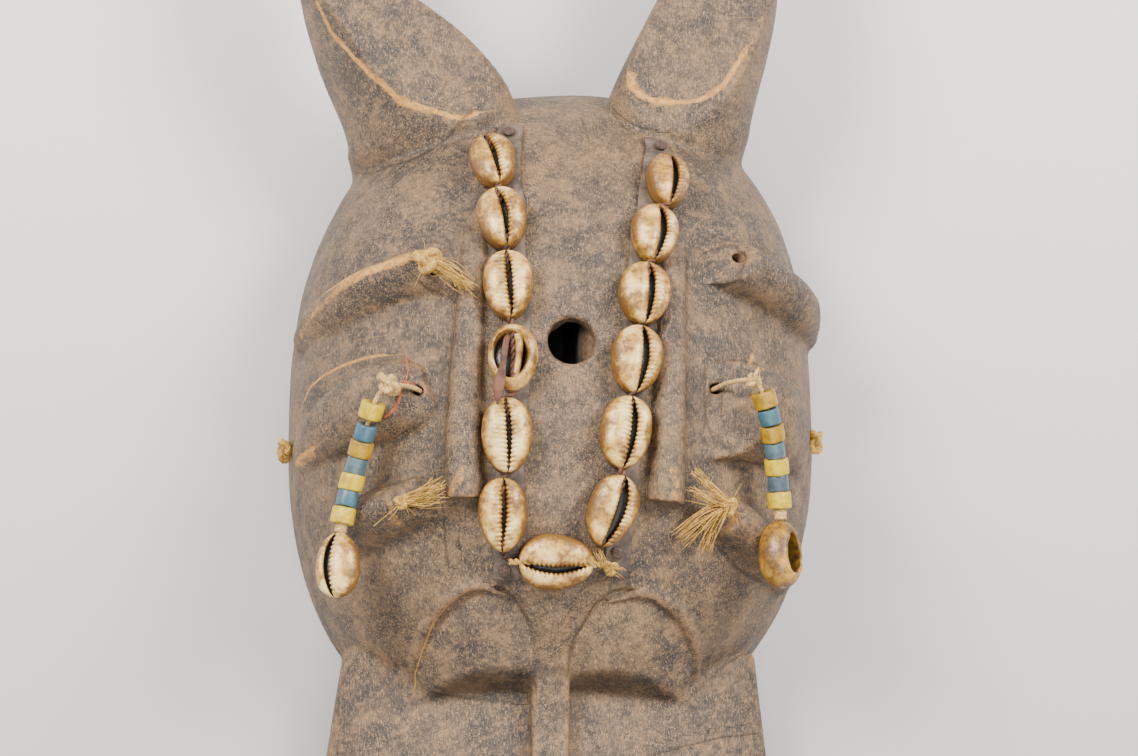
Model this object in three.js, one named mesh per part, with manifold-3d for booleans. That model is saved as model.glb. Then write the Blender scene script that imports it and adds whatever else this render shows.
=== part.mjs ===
// A carved wooden face mask with two horns, strings of cowrie shells and two beaded pendants.
// It lies face up on its flat back rim. Millimetres: +X is to the right of someone looking at
// the face, +Y runs to the horns, +Z comes out of the face, and the rim's underside is at z = 0.

import * as THREE from 'three';
import { mergeVertices } from 'three/addons/utils/BufferGeometryUtils.js';
import Module from 'manifold-3d';

const wasm = await Module();
wasm.setup();

const { clamp, lerp, smoothstep, degToRad } = THREE.MathUtils;

// The domed face: an egg with squared shoulders, a little wider and longer on one side
const FACE_HALF_WIDTH = { left: 81.6, right: 84.4 };
const FACE_TOP = { left: 103.5, right: 111 };
const FACE_BOTTOM = { left: 103.2, right: 97.8 };
const FACE_HEIGHT = 76;
const FACE_FULLNESS = 2.47;
const WALL = 12;

// The block below the dome, that carries the lower face
const BLOCK = { top: -76, topHalfWidth: 63.5, halfWidth: 68.5, widest: -112 };
const JAW = { bulge: 2, bulgeY: -152, turnHalfWidth: 46, turnY: -190 };
const CHIN = { halfWidth: 30, y: -211, bow: 6, drop: 10, dropFrom: -165, dropTo: -216 };
const BLOCK_FRONT = { halfWidth: 76, height: 41, start: -50, end: -230 };
const MOUTH = { y: -178, halfWidth: 19, halfHeight: 9, lip: 5.5, sunk: 6, slit: 1.6, slitHalfWidth: 15.2 };

// The nose ridge: its half widths, where along the face it widens and flares, and its side view
const NOSE = { x: -1.9, topHalfWidth: 4, halfWidth: 5.7, nostrilHalfWidth: 9, foot: 20 };
const NOSE_WIDENS = { from: -66, to: -100 };
const NOSE_FLARES = { from: -132, to: -148 };
const NOSE_CREST = [[-58, 66], [-70, 62.5], [-90, 50], [-112, 46.5], [-134, 52], [-150, 59]];
const NOSE_TIP = [[-154, 54], [-152, 20]];

// The two arched eyes under the dome
const EYE_ARCHES = {
  left: { x: -24.5, halfWidth: 18, top: -63.8, lidX: -16 },
  right: { x: 22.8, halfWidth: 20, top: -64.4, lidX: 15 },
};
const ARCH_BASE = -97;
const ARCH_FLOOR = 25;
const ARCH_FULLNESS = 2.5;
const LID_GROOVE = 1;
const LID_SUMMIT = { y: -76, z: 57.5, tilt: 24 };
const LID_RADII = { x: 34, y: 52, z: 30 };
const NICHE_DROP = 3.5;
const LID_UNDERCUT = { y: -88, z: 51, tilt: 22 };
const ARCH_BEAD = [[2, 1.6], [2, 1.6], [1.9, 1.5], [1.6, 1.1], [1, 0.5]];

// The horns' front is planed flat at this height
const HORN_FACE = 56;

// Holes through the wood, and the small pocket in the lower end of each nose tube
const FOREHEAD_HOLE = { x: 1.8, y: 8.4, radius: 7 };
const SMALL_HOLE_RADIUS = 1.7;
const DRILL_LENGTH = 60;
const NOSTRIL = { halfWidth: 2.8, halfHeight: 1.3, depth: 5, outwards: 1, rise: 5.2 };

// Larger than anything it cuts away
const BEYOND = 400;

// What is fixed on the face, and the gap it keeps to its neighbours
const GAP = 0.4;
const STRAP = { halfWidth: 4.1, thickness: 1.4 };
const THONG = { halfWidth: 1, height: 0.6 };
const THONG_LIFT = STRAP.thickness + 2 * GAP + THONG.height;
const COWRIE = { height: 7.5, waist: 3, back: 4.8, swell: 0.12 };
const COWRIE_MOUTH = { halfWidth: 0.75, share: 0.74, floor: 0.8 };
const TUNNEL = { halfWidth: 1.8, height: 1.8 };
const OPEN_WELL = { across: 0.36, along: 0.38 };
const HOLLOW_SHARE = 0.66;
const PENDANT_MOUTH = { x: -1.2, halfWidth: 0.7, floor: 2 };
const BREAK = { across: 0.3, along: 0.3, depth: 5, x: 0.34, y: -1, z: 6 };
const NAIL = { head: 1.9, shank: 0.6, depth: 8, length: 7, rim: 0.8, crown: 1.1 };
const CORD = { radius: 0.75, bore: 1.45 };
const BEAD = { radius: 3.5, length: 4.6 };
const STEM = { radius: 1.1, depth: 10 };
const SIDE_KNOT = { radii: [3, 4.2, 2.4], lift: 2.9, stemLength: 13, stemMiddle: -4 };

// Moves the finished mask so that its box is centred on the origin
const CENTRE_SHIFT = { x: 1.3, y: 4.5 };

const wood = new THREE.MeshStandardMaterial({ color: '#8f7c6c', roughness: 0.75, metalness: 0 });
const shell = new THREE.MeshStandardMaterial({ color: '#e2cba6', roughness: 0.4, metalness: 0 });
const leather = new THREE.MeshStandardMaterial({ color: '#6f5a49', roughness: 0.7, metalness: 0 });
const raffia = new THREE.MeshStandardMaterial({ color: '#c9ab80', roughness: 0.9, metalness: 0 });
const iron = new THREE.MeshStandardMaterial({ color: '#5d4436', roughness: 0.6, metalness: 0.6 });
const yellowGlass = new THREE.MeshStandardMaterial({ color: '#e3cf68', roughness: 0.35, metalness: 0 });
const blueGlass = new THREE.MeshStandardMaterial({ color: '#7d9fae', roughness: 0.35, metalness: 0 });

const mask = new THREE.Group();

function solid(geometry) {
  const bare = new THREE.BufferGeometry();
  bare.setAttribute('position', geometry.getAttribute('position'));
  bare.setIndex(geometry.getIndex());
  const merged = mergeVertices(bare, 1e-4);
  const corners = [];
  for (let i = 0; i < merged.index.count; i += 3) {
    const [a, b, c] = [0, 1, 2].map((k) => merged.index.getX(i + k));
    if (a !== b && b !== c && c !== a) corners.push(a, b, c);
  }
  const vertProperties = new Float32Array(merged.attributes.position.array);
  const triVerts = new Uint32Array(corners);
  return new wasm.Manifold(new wasm.Mesh({ numProp: 3, vertProperties, triVerts }));
}

function addPiece(name, body, material, place = new THREE.Matrix4()) {
  const raw = body.getMesh();
  const geometry = new THREE.BufferGeometry();
  geometry.setAttribute('position', new THREE.BufferAttribute(new Float32Array(raw.vertProperties), 3));
  geometry.setIndex(new THREE.BufferAttribute(new Uint32Array(raw.triVerts), 1));
  geometry.computeVertexNormals();
  const mesh = new THREE.Mesh(geometry, material.clone());
  mesh.name = name;
  place.decompose(mesh.position, mesh.quaternion, mesh.scale);
  mask.add(mesh);
}

// Carries every vertex of a geometry to a new place
function reshape(geometry, carry) {
  const position = geometry.getAttribute('position');
  const vertex = new THREE.Vector3();
  for (let i = 0; i < position.count; i += 1) {
    const moved = carry(vertex.fromBufferAttribute(position, i));
    position.setXYZ(i, moved.x, moved.y, moved.z);
  }
  return geometry;
}

// Half width and half length of the dome on the side that a point lies on
function faceSpan(point) {
  const sideways = point.x / Math.max(Math.hypot(point.x, point.y), 1e-6);
  const end = point.y > 0 ? FACE_TOP : FACE_BOTTOM;
  const halfLength = lerp(end.left, end.right, clamp(0.5 + 0.7 * sideways, 0, 1));
  return { halfWidth: point.x < 0 ? FACE_HALF_WIDTH.left : FACE_HALF_WIDTH.right, halfLength };
}

// The point of the dome that lies straight out from its centre through the given point
function snapToFace(point, inset = 0) {
  const { halfWidth, halfLength } = faceSpan(point);
  const sum =
    Math.abs(point.x / halfWidth) ** FACE_FULLNESS +
    Math.abs(point.y / halfLength) ** FACE_FULLNESS +
    Math.abs(point.z / FACE_HEIGHT) ** FACE_FULLNESS;
  const reach = sum ** (-1 / FACE_FULLNESS);
  return point.clone().multiplyScalar(reach - inset / point.length());
}

function faceNormal(point) {
  const { halfWidth, halfLength } = faceSpan(point);
  const slope = (value, half) =>
    (Math.sign(value) * Math.abs(value / half) ** (FACE_FULLNESS - 1)) / half;
  return new THREE.Vector3(
    slope(point.x, halfWidth),
    slope(point.y, halfLength),
    slope(point.z, FACE_HEIGHT),
  ).normalize();
}

function dome(inset, around, rings) {
  const ball = new THREE.SphereGeometry(1, around, rings).rotateX(Math.PI / 2);
  return solid(reshape(ball, (vertex) => snapToFace(vertex, inset)));
}

// A value read off a list of evenly spaced stops
function between(stops, share, key) {
  const place = clamp(share, 0, 1) * (stops.length - 1);
  const first = Math.min(Math.floor(place), stops.length - 2);
  return lerp(stops[first][key], stops[first + 1][key], place - first);
}

const UPRIGHT = { first: 0, last: 0 };

// A long body with an oval section that follows a row of stops. On the face its middle line
// lies in the dome's surface, slant sets back its first end as it rises, and lean moves its
// crest sideways.
function sweep(stops, { onFace = true, around = 10, along = 8, slant = 0, lean = UPRIGHT, lift = 0 }) {
  const curve = new THREE.CatmullRomCurve3(stops.map((stop) => new THREE.Vector3(...stop.at)));
  const middle = (share) => {
    const point = curve.getPoint(clamp(share, 0, 1));
    return onFace ? snapToFace(point) : point;
  };
  const step = 0.01;
  const rod = new THREE.CylinderGeometry(1, 1, 1, around, along);
  return solid(
    reshape(rod, (vertex) => {
      const share = 0.5 - vertex.y;
      const centre = middle(share);
      const tangent = middle(share + step).sub(middle(share - step)).normalize();
      const up = onFace ? faceNormal(centre) : new THREE.Vector3(0, 0, 1);
      up.addScaledVector(tangent, -up.dot(tangent)).normalize();
      const side = new THREE.Vector3().crossVectors(up, tangent);
      const rise = vertex.z * between(stops, share, 'height');
      const setBack = slant * rise * (1 - share);
      const shift = lerp(lean.first, lean.last, share) * vertex.z;
      return centre
        .addScaledVector(side, vertex.x * between(stops, share, 'halfWidth') + shift)
        .addScaledVector(up, rise + lift)
        .addScaledVector(tangent, setBack);
    }),
  );
}

function turnUpTo(direction) {
  return new THREE.Quaternion().setFromUnitVectors(new THREE.Vector3(0, 1, 0), direction);
}

// A straight hole along the face's normal, right through the wall and what is carved on it
function drill(at, radius, sides = 6) {
  const surface = snapToFace(new THREE.Vector3(...at));
  const bit = new THREE.CylinderGeometry(radius, radius, DRILL_LENGTH, sides);
  bit.applyQuaternion(turnUpTo(faceNormal(surface)));
  bit.translate(surface.x, surface.y, surface.z);
  return solid(bit);
}

function blockOutline(inset) {
  const outer = BLOCK.halfWidth - inset;
  const shoulder = BLOCK.topHalfWidth - inset;
  const turn = JAW.turnHalfWidth - inset;
  const corner = CHIN.halfWidth - inset;
  const end = CHIN.y + inset;
  const top = inset > 0 ? BLOCK.top + 30 : BLOCK.top;
  const outline = new THREE.Shape();
  outline.moveTo(-shoulder, top);
  outline.lineTo(-outer, BLOCK.widest);
  outline.bezierCurveTo(-outer - JAW.bulge, JAW.bulgeY, -turn, JAW.turnY, -corner, end);
  outline.quadraticCurveTo(0, end - CHIN.bow, corner, end);
  outline.bezierCurveTo(turn, JAW.turnY, outer + JAW.bulge, JAW.bulgeY, outer, BLOCK.widest);
  outline.lineTo(shoulder, top);
  return outline;
}

function blockFrontHeight(y) {
  return BLOCK_FRONT.height - CHIN.drop * smoothstep(-y, -CHIN.dropFrom, -CHIN.dropTo);
}

function block(inset) {
  const options = { depth: 60, bevelEnabled: false, curveSegments: 6 };
  const plan = new THREE.ExtrudeGeometry(blockOutline(inset), options);
  const { start, end } = BLOCK_FRONT;
  const bow = new THREE.CylinderGeometry(1, 1, start - end, 18, 3);
  bow.translate(0, (start + end) / 2, 0);
  reshape(bow, (vertex) => {
    vertex.x *= BLOCK_FRONT.halfWidth - inset;
    vertex.z *= blockFrontHeight(vertex.y) - inset;
    return vertex;
  });
  return solid(plan.translate(0, 0, inset > 0 ? -1 : 0)).intersect(solid(bow));
}

// The long nose ridge, drawn from the side and widened towards its tip
function nose() {
  const [root, ...crest] = NOSE_CREST;
  const profile = new THREE.Shape();
  profile.moveTo(root[0], NOSE.foot);
  profile.lineTo(...root);
  profile.splineThru(crest.map((point) => new THREE.Vector2(...point)));
  NOSE_TIP.forEach((point) => profile.lineTo(...point));
  const options = { depth: 1, bevelEnabled: false, curveSegments: 9 };
  const ridge = new THREE.ExtrudeGeometry(profile, options);
  return solid(
    reshape(ridge, (vertex) => {
      const y = vertex.x;
      const widening = smoothstep(-y, -NOSE_WIDENS.from, -NOSE_WIDENS.to);
      const flare = smoothstep(-y, -NOSE_FLARES.from, -NOSE_FLARES.to);
      const shank = lerp(NOSE.topHalfWidth, NOSE.halfWidth, widening);
      const halfWidth = lerp(shank, NOSE.nostrilHalfWidth, flare);
      return vertex.set(NOSE.x + (vertex.z - 0.5) * 2 * halfWidth, y, vertex.y);
    }),
  );
}

function mouth() {
  const front = blockFrontHeight(MOUTH.y);
  const lips = new THREE.SphereGeometry(1, 12, 6);
  lips.scale(MOUTH.halfWidth, MOUTH.halfHeight, MOUTH.lip + MOUTH.sunk);
  lips.translate(0, MOUTH.y, front - MOUTH.sunk);
  const slit = new THREE.BoxGeometry(2 * MOUTH.slitHalfWidth, MOUTH.slit, 8);
  slit.translate(0, MOUTH.y, front + MOUTH.lip);
  return { lips: solid(lips), slit: solid(slit) };
}

// One arched eye: the niche cut into the dome and the swelling lid that fills it
function archShape({ x, halfWidth, top }, inset) {
  const points = [];
  const steps = 10;
  const power = 2 / ARCH_FULLNESS;
  for (let i = 0; i <= steps; i += 1) {
    const angle = (Math.PI * i) / steps;
    const across = Math.sign(Math.cos(angle)) * Math.abs(Math.cos(angle)) ** power;
    const upward = Math.sin(angle) ** power;
    const height = top - inset - ARCH_BASE;
    points.push(new THREE.Vector2(x + (halfWidth - inset) * across, ARCH_BASE + height * upward));
  }
  return new THREE.Shape(points);
}

function archPrism(arch, inset) {
  const options = { depth: 50, bevelEnabled: false };
  const prism = new THREE.ExtrudeGeometry(archShape(arch, inset), options);
  return solid(prism.translate(0, 0, ARCH_FLOOR));
}

function lidCrown(arch, drop) {
  const tilt = degToRad(LID_SUMMIT.tilt);
  const crown = new THREE.SphereGeometry(1, 12, 7).rotateX(Math.PI / 2);
  crown.scale(LID_RADII.x, LID_RADII.y, LID_RADII.z).rotateX(tilt);
  const back = LID_RADII.z * Math.sin(tilt);
  const down = LID_RADII.z * Math.cos(tilt) + drop;
  crown.translate(arch.lidX, LID_SUMMIT.y + back, LID_SUMMIT.z - down);
  return solid(crown);
}

function undercut() {
  const size = 60;
  const cutter = new THREE.BoxGeometry(90, size, size).translate(0, -size / 2, 0);
  cutter.rotateX(-degToRad(LID_UNDERCUT.tilt)).translate(0, LID_UNDERCUT.y, LID_UNDERCUT.z);
  return solid(cutter);
}

// The horns rise out of the brow. Their crest leans inwards at the root and less at the tip.
const HORNS = {
  left: {
    stops: [
      { at: [-31, 64, 19], halfWidth: 22.5, height: 20 },
      { at: [-40.4, 90, 38], halfWidth: 23.2, height: 20.8 },
      { at: [-60.6, 118, 42], halfWidth: 14.2, height: 24.5 },
      { at: [-69, 136, 44], halfWidth: 12.6, height: 26 },
      { at: [-76, 172, 48], halfWidth: 11.5, height: 19 },
      { at: [-69, 204, 53], halfWidth: 4, height: 7 },
    ],
    lean: { first: -16, last: 6 },
  },
  right: {
    stops: [
      { at: [35, 66, 19], halfWidth: 22, height: 20 },
      { at: [39.5, 93, 38], halfWidth: 22.6, height: 21 },
      { at: [53.8, 136, 44], halfWidth: 17.6, height: 28 },
      { at: [57, 172, 48], halfWidth: 13, height: 19 },
      { at: [49, 204, 53], halfWidth: 4, height: 7 },
    ],
    lean: { first: 8, last: -2 },
  },
};

function horn({ stops, lean }) {
  const plane = new THREE.BoxGeometry(BEYOND, BEYOND, BEYOND);
  plane.translate(0, 0, HORN_FACE + BEYOND / 2);
  return sweep(stops, { onFace: false, around: 12, along: 7, lean }).subtract(solid(plane));
}

// The three carved bars on each side, from their inner cut end outwards
const BARS = {
  browLeft: {
    stops: [
      { at: [-34.5, 31, 71], halfWidth: 6.8, height: 8 },
      { at: [-51, 28, 63.6], halfWidth: 6.8, height: 8 },
      { at: [-65.7, 23.8, 51.7], halfWidth: 6.5, height: 6.5 },
      { at: [-79, 18, 25], halfWidth: 3, height: 2.5 },
    ],
    slant: 1.45,
    lean: -2.5,
  },
  browRight: {
    stops: [
      { at: [44, 37, 67], halfWidth: 7.8, height: 10 },
      { at: [60.1, 32.6, 58.2], halfWidth: 7.6, height: 10 },
      { at: [73.1, 29.1, 44.1], halfWidth: 6.8, height: 8.5 },
      { at: [83, 26, 22], halfWidth: 4, height: 3.5 },
    ],
    slant: 1.3,
    lean: 1,
  },
  eyeLeft: {
    stops: [
      { at: [-40, -6.2, 70.6], halfWidth: 6.5, height: 3.5 },
      { at: [-45, -7.7, 68.4], halfWidth: 11, height: 8 },
      { at: [-54, -9.5, 64], halfWidth: 12, height: 9.5 },
      { at: [-67, -14, 51.7], halfWidth: 9.5, height: 7.5 },
      { at: [-78, -20, 29], halfWidth: 4, height: 2.5 },
    ],
    slant: 0.3,
    lean: -2,
  },
  eyeRight: {
    stops: [
      { at: [44.5, -10.5, 69], halfWidth: 15.5, height: 11 },
      { at: [57, -11, 61.5], halfWidth: 14, height: 10.5 },
      { at: [68, -14.5, 51], halfWidth: 11, height: 6.5 },
      { at: [75, -20, 39], halfWidth: 5, height: 2 },
    ],
    slant: 1.3,
    lean: 2,
  },
  cheekLeft: {
    stops: [
      { at: [-39, -38.5, 68], halfWidth: 6.8, height: 9 },
      { at: [-50, -42, 61.5], halfWidth: 7.8, height: 9.5 },
      { at: [-58, -44, 54.5], halfWidth: 8.5, height: 8 },
      { at: [-66, -48.5, 45], halfWidth: 7.5, height: 2.5 },
    ],
    slant: 0.8,
    lean: -1,
  },
  cheekRight: {
    stops: [
      { at: [44, -41, 66], halfWidth: 6.5, height: 9 },
      { at: [56, -45, 57], halfWidth: 7.3, height: 9 },
      { at: [66, -50, 43], halfWidth: 7, height: 7.5 },
      { at: [72, -54, 28], halfWidth: 5, height: 2.5 },
    ],
    slant: 0.8,
    lean: 0,
  },
};

// The two nose tubes beside the shell strings, with a nostril under each lower end
const TUBES = {
  left: [
    { at: [-27, 44, 71], halfWidth: 3.5, height: 2 },
    { at: [-28.9, 12, 73.4], halfWidth: 4.6, height: 4 },
    { at: [-30, -16, 73], halfWidth: 5.3, height: 6 },
    { at: [-29.8, -40, 70.4], halfWidth: 6.1, height: 8.5 },
  ],
  right: [
    { at: [33.8, 46, 69], halfWidth: 3.5, height: 2 },
    { at: [32.2, 13, 73], halfWidth: 4.4, height: 4 },
    { at: [31, -15, 73], halfWidth: 5.1, height: 6 },
    { at: [29.6, -40, 70.4], halfWidth: 6, height: 8.5 },
  ],
};

function nostril(stops) {
  const [x, y, z] = stops[stops.length - 1].at;
  const pocket = new THREE.SphereGeometry(1, 6, 4);
  pocket.scale(NOSTRIL.halfWidth, NOSTRIL.depth, NOSTRIL.halfHeight);
  pocket.translate(x + Math.sign(x) * NOSTRIL.outwards, y, z + NOSTRIL.rise);
  return solid(pocket);
}

// The raised bead round the outside of each arched eye
const ARCH_BEADS = [
  [[-42.2, -90, 28], [-40.8, -77, 47], [-35.5, -69, 57], [-26, -64.6, 62.6], [-15, -67.5, 62]],
  [[42.6, -90, 22], [41.4, -77, 45], [35.5, -69.5, 55], [25, -65.8, 61.5], [13, -68.5, 61]],
];

// Feet of the small holes on the dome, and of the nails that hold the straps
const SMALL_HOLES = {
  browLeft: [-38.9, 30.3, 69],
  browRight: [51, 37, 63.5],
  eyeLeft: [-42.8, -7.5, 69.3],
  eyeRight: [46, -3.8, 68.4],
  cheekLeft: [-43.5, -40.3, 66],
  cheekRight: [46.8, -40, 64],
  sideLeft: [-80.6, -12.6, 17],
  sideRight: [79.8, -10.1, 32.8],
};
const NAILS = {
  left_top: [-15.9, 78.3],
  right_top: [30.4, 75.2],
  left_bottom: [-17.3, -60.3],
  right_bottom: [15.6, -54.6],
};

function carveMask() {
  let body = dome(0, 36, 18);
  Object.values(EYE_ARCHES).forEach((arch) => {
    const niche = archPrism(arch, 0).subtract(lidCrown(arch, NICHE_DROP));
    const lid = archPrism(arch, LID_GROOVE).intersect(lidCrown(arch, 0));
    body = body.subtract(niche).add(lid);
  });
  body = body.subtract(undercut()).add(block(0)).add(nose());
  ARCH_BEADS.forEach((points) => {
    const stops = points.map((at, i) => ({ at, halfWidth: ARCH_BEAD[i][0], height: ARCH_BEAD[i][1] }));
    body = body.add(sweep(stops, { around: 6, along: 6 }));
  });
  Object.values(BARS).forEach(({ stops, slant, lean }) => {
    const even = { first: lean, last: lean };
    body = body.add(sweep(stops, { around: 8, along: 5, slant, lean: even }));
  });
  Object.values(TUBES).forEach((stops) => {
    body = body.add(sweep(stops, { around: 8, along: 5 })).subtract(nostril(stops));
  });
  Object.values(HORNS).forEach((shape) => {
    body = body.add(horn(shape));
  });
  const { lips, slit } = mouth();
  body = body.add(lips).subtract(slit);
  const floor = new THREE.BoxGeometry(BEYOND, 2 * BEYOND, BEYOND).translate(0, 0, -BEYOND / 2);
  body = body.subtract(solid(floor)).subtract(dome(WALL, 16, 10)).subtract(block(WALL));
  const { x, y, radius } = FOREHEAD_HOLE;
  body = body.subtract(drill([x, y, FACE_HEIGHT], radius, 16));
  Object.values(SMALL_HOLES).forEach((at) => {
    body = body.subtract(drill(at, SMALL_HOLE_RADIUS));
  });
  Object.values(NAILS).forEach((at) => {
    body = body.subtract(nailHole(at));
  });
  return body;
}

// The point of the dome above a place in the plan
function onDome(x, y) {
  const { halfWidth, halfLength } = faceSpan({ x, y });
  const rest = 1 - Math.abs(x / halfWidth) ** FACE_FULLNESS - Math.abs(y / halfLength) ** FACE_FULLNESS;
  return new THREE.Vector3(x, y, FACE_HEIGHT * rest ** (1 / FACE_FULLNESS));
}

// A seat on the dome: z stands off the wood, y runs towards the horns, turned by the tilt
function seat([x, y], lift, tilt = 0) {
  const foot = onDome(x, y);
  const up = faceNormal(foot);
  const across = new THREE.Vector3(0, 1, 0).cross(up).normalize();
  const ahead = new THREE.Vector3().crossVectors(up, across);
  const place = new THREE.Matrix4().makeBasis(across, ahead, up);
  place.multiply(new THREE.Matrix4().makeRotationZ(degToRad(tilt)));
  return place.setPosition(foot.addScaledVector(up, lift));
}

function nailHole(at) {
  const radius = (NAIL.shank + GAP) / Math.cos(Math.PI / 6);
  const bit = new THREE.CylinderGeometry(radius, radius, 2 * NAIL.depth, 6);
  bit.rotateX(Math.PI / 2).applyMatrix4(seat(at, 0));
  return solid(bit);
}

function nail() {
  const profile = [
    [0, -NAIL.length],
    [NAIL.shank, -NAIL.length],
    [NAIL.shank, 0],
    [NAIL.head, 0],
    [NAIL.head * 0.7, NAIL.rim],
    [0, NAIL.crown],
  ].map(([radius, height]) => new THREE.Vector2(radius, height));
  return solid(new THREE.LatheGeometry(profile, 6).rotateX(Math.PI / 2));
}

// A leather strap bent over the dome along a row of places in the plan
function strap(places) {
  const curve = new THREE.CatmullRomCurve3(places.map(([x, y]) => onDome(x, y)));
  const band = new THREE.BoxGeometry(2, 1, 1, 1, 14, 1);
  const step = 0.01;
  reshape(band, (vertex) => {
    const share = vertex.y + 0.5;
    const before = curve.getPoint(Math.max(share - step, 0));
    const ahead = curve.getPoint(Math.min(share + step, 1)).sub(before);
    const centre = snapToFace(curve.getPoint(share));
    const side = ahead.cross(faceNormal(centre)).normalize();
    const edge = snapToFace(centre.addScaledVector(side, vertex.x * STRAP.halfWidth));
    const lift = GAP + (vertex.z + 0.5) * STRAP.thickness;
    return edge.clone().addScaledVector(faceNormal(edge), lift);
  });
  return solid(band);
}

// The thong is threaded through both ends of every shell, and runs on to its own two ends
function threaded(shells, start, end) {
  const tips = shells.flatMap(({ at, length, tilt }) => {
    const place = seat(at, 0, tilt);
    return [0.4, -0.4].map((share) => new THREE.Vector3(0, share * length, 0).applyMatrix4(place));
  });
  return [start, ...tips.map(({ x, y }) => [x, y]), end];
}

function thong(places) {
  const stops = places.map(([x, y]) => ({ at: onDome(x, y).toArray(), ...THONG }));
  return sweep(stops, { around: 5, along: places.length - 1, lift: THONG_LIFT });
}

// An egg with its tips on the y axis, blunter towards +y, flattened on its mouth side
function egg(length, width, scale, around, rings) {
  const { height, waist, back } = COWRIE;
  const ball = new THREE.SphereGeometry(1, around, rings);
  return reshape(ball, (vertex) => {
    const swell = 1 + COWRIE.swell * vertex.y;
    const reach = vertex.z > 0 ? height - waist : back;
    return vertex.set(
      (vertex.x * width * swell * scale) / 2,
      (vertex.y * length * (scale + 1)) / 4,
      waist + vertex.z * reach * scale,
    );
  });
}

// A cowrie worn mouth outwards: its back is broken away and rests on the strap, and the thong
// runs through it. An open one lies turned over, so that only its rim is left.
function cowrie(length, width, isOpen) {
  const below = new THREE.BoxGeometry(BEYOND, BEYOND, BEYOND).translate(0, 0, -BEYOND / 2);
  const tunnel = new THREE.BoxGeometry(2 * TUNNEL.halfWidth, BEYOND, 2 * TUNNEL.height);
  const cut = solid(egg(length, width, 1, 10, 5)).subtract(solid(below)).subtract(solid(tunnel));
  if (isOpen) {
    const well = new THREE.CylinderGeometry(1, 1, BEYOND, 10).rotateX(Math.PI / 2);
    return cut.subtract(solid(well.scale(width * OPEN_WELL.across, length * OPEN_WELL.along, 1)));
  }
  return cut.subtract(shellMouth(length, 0, COWRIE_MOUTH.halfWidth, COWRIE_MOUTH.floor));
}

// The long mouth of a shell, from its floor upwards
function shellMouth(length, x, halfWidth, floor) {
  const slot = new THREE.BoxGeometry(2 * halfWidth, length * COWRIE_MOUTH.share, 2 * COWRIE.height);
  return solid(slot.translate(x, 0, floor + COWRIE.height));
}

// A whole cowrie at the end of a pendant: its cord comes in at the upper tip
function pendantCowrie(length, width, isBroken) {
  const bore = new THREE.CylinderGeometry(CORD.bore, CORD.bore, length / 2, 6);
  bore.translate(0, length / 2, COWRIE.waist);
  const hollow = solid(egg(length, width, HOLLOW_SHARE, 6, 4));
  const body = solid(egg(length, width, 1, 10, 6)).subtract(hollow).subtract(solid(bore));
  if (isBroken) {
    const gap = new THREE.SphereGeometry(1, 8, 4);
    gap.scale(width * BREAK.across, length * BREAK.along, BREAK.depth);
    return body.subtract(solid(gap.translate(width * BREAK.x, BREAK.y, BREAK.z)));
  }
  const { x, halfWidth, floor } = PENDANT_MOUTH;
  return body.subtract(shellMouth(length, x, halfWidth, floor));
}

// A ring round a cord: a bead, or a knot or a wrapping that swells in the middle
function collar(radius, length, sides, swell = 0) {
  const half = length / 2;
  const profile = [
    [CORD.bore, -half],
    [radius - swell, -half],
    ...(swell > 0 ? [[radius, 0]] : []),
    [radius - swell, half],
    [CORD.bore, half],
    [CORD.bore, -half],
  ].map(([r, height]) => new THREE.Vector2(r, height));
  return solid(new THREE.LatheGeometry(profile, sides));
}

function cord(curve) {
  const section = new THREE.Shape();
  section.absarc(0, 0, CORD.radius, 0, 2 * Math.PI);
  const options = { steps: 22, bevelEnabled: false, curveSegments: 4, extrudePath: curve };
  return solid(new THREE.ExtrudeGeometry(section, options));
}

// Stands a piece on a curve at a distance along it, with its y axis back along the curve
function onCurve(curve, distance, outward) {
  const share = distance / curve.getLength();
  const back = curve.getTangentAt(share).negate();
  const across = back.clone().cross(outward).normalize();
  const up = new THREE.Vector3().crossVectors(across, back);
  return new THREE.Matrix4().makeBasis(across, back, up).setPosition(curve.getPointAt(share));
}

// A raffia tuft: a knot over its hole, a stem down the hole and one or more frayed tails
function tuft({ hole, knot, tails }) {
  const ball = new THREE.SphereGeometry(1, 7, 5).scale(...knot.radii).translate(...knot.at);
  const foot = snapToFace(new THREE.Vector3(...hole));
  const up = faceNormal(foot);
  const start = foot.clone().addScaledVector(up, -STEM.depth);
  const reach = new THREE.Vector3(...knot.at).sub(start).dot(up);
  const stem = new THREE.CylinderGeometry(STEM.radius, STEM.radius, reach, 6);
  stem.translate(0, reach / 2, 0).applyQuaternion(turnUpTo(up));
  stem.translate(start.x, start.y, start.z);
  let body = solid(ball).add(solid(stem));
  tails.forEach((stops) => {
    body = body.add(sweep(stops, { onFace: false, around: 5, along: 3 }));
  });
  return body;
}

function sideKnot(hole) {
  const foot = snapToFace(new THREE.Vector3(...hole));
  const up = faceNormal(foot);
  const ahead = new THREE.Vector3(0, 1, 0).addScaledVector(up, -up.y).normalize();
  const across = new THREE.Vector3().crossVectors(ahead, up);
  const place = new THREE.Matrix4().makeBasis(across, ahead, up).setPosition(foot);
  const { radii, lift, stemLength, stemMiddle } = SIDE_KNOT;
  const ball = new THREE.SphereGeometry(1, 7, 5).scale(...radii).translate(0, 0, lift);
  const stem = new THREE.CylinderGeometry(STEM.radius, STEM.radius, stemLength, 6);
  stem.rotateX(Math.PI / 2).translate(0, 0, stemMiddle);
  return { body: solid(ball).add(solid(stem)), place };
}

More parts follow.
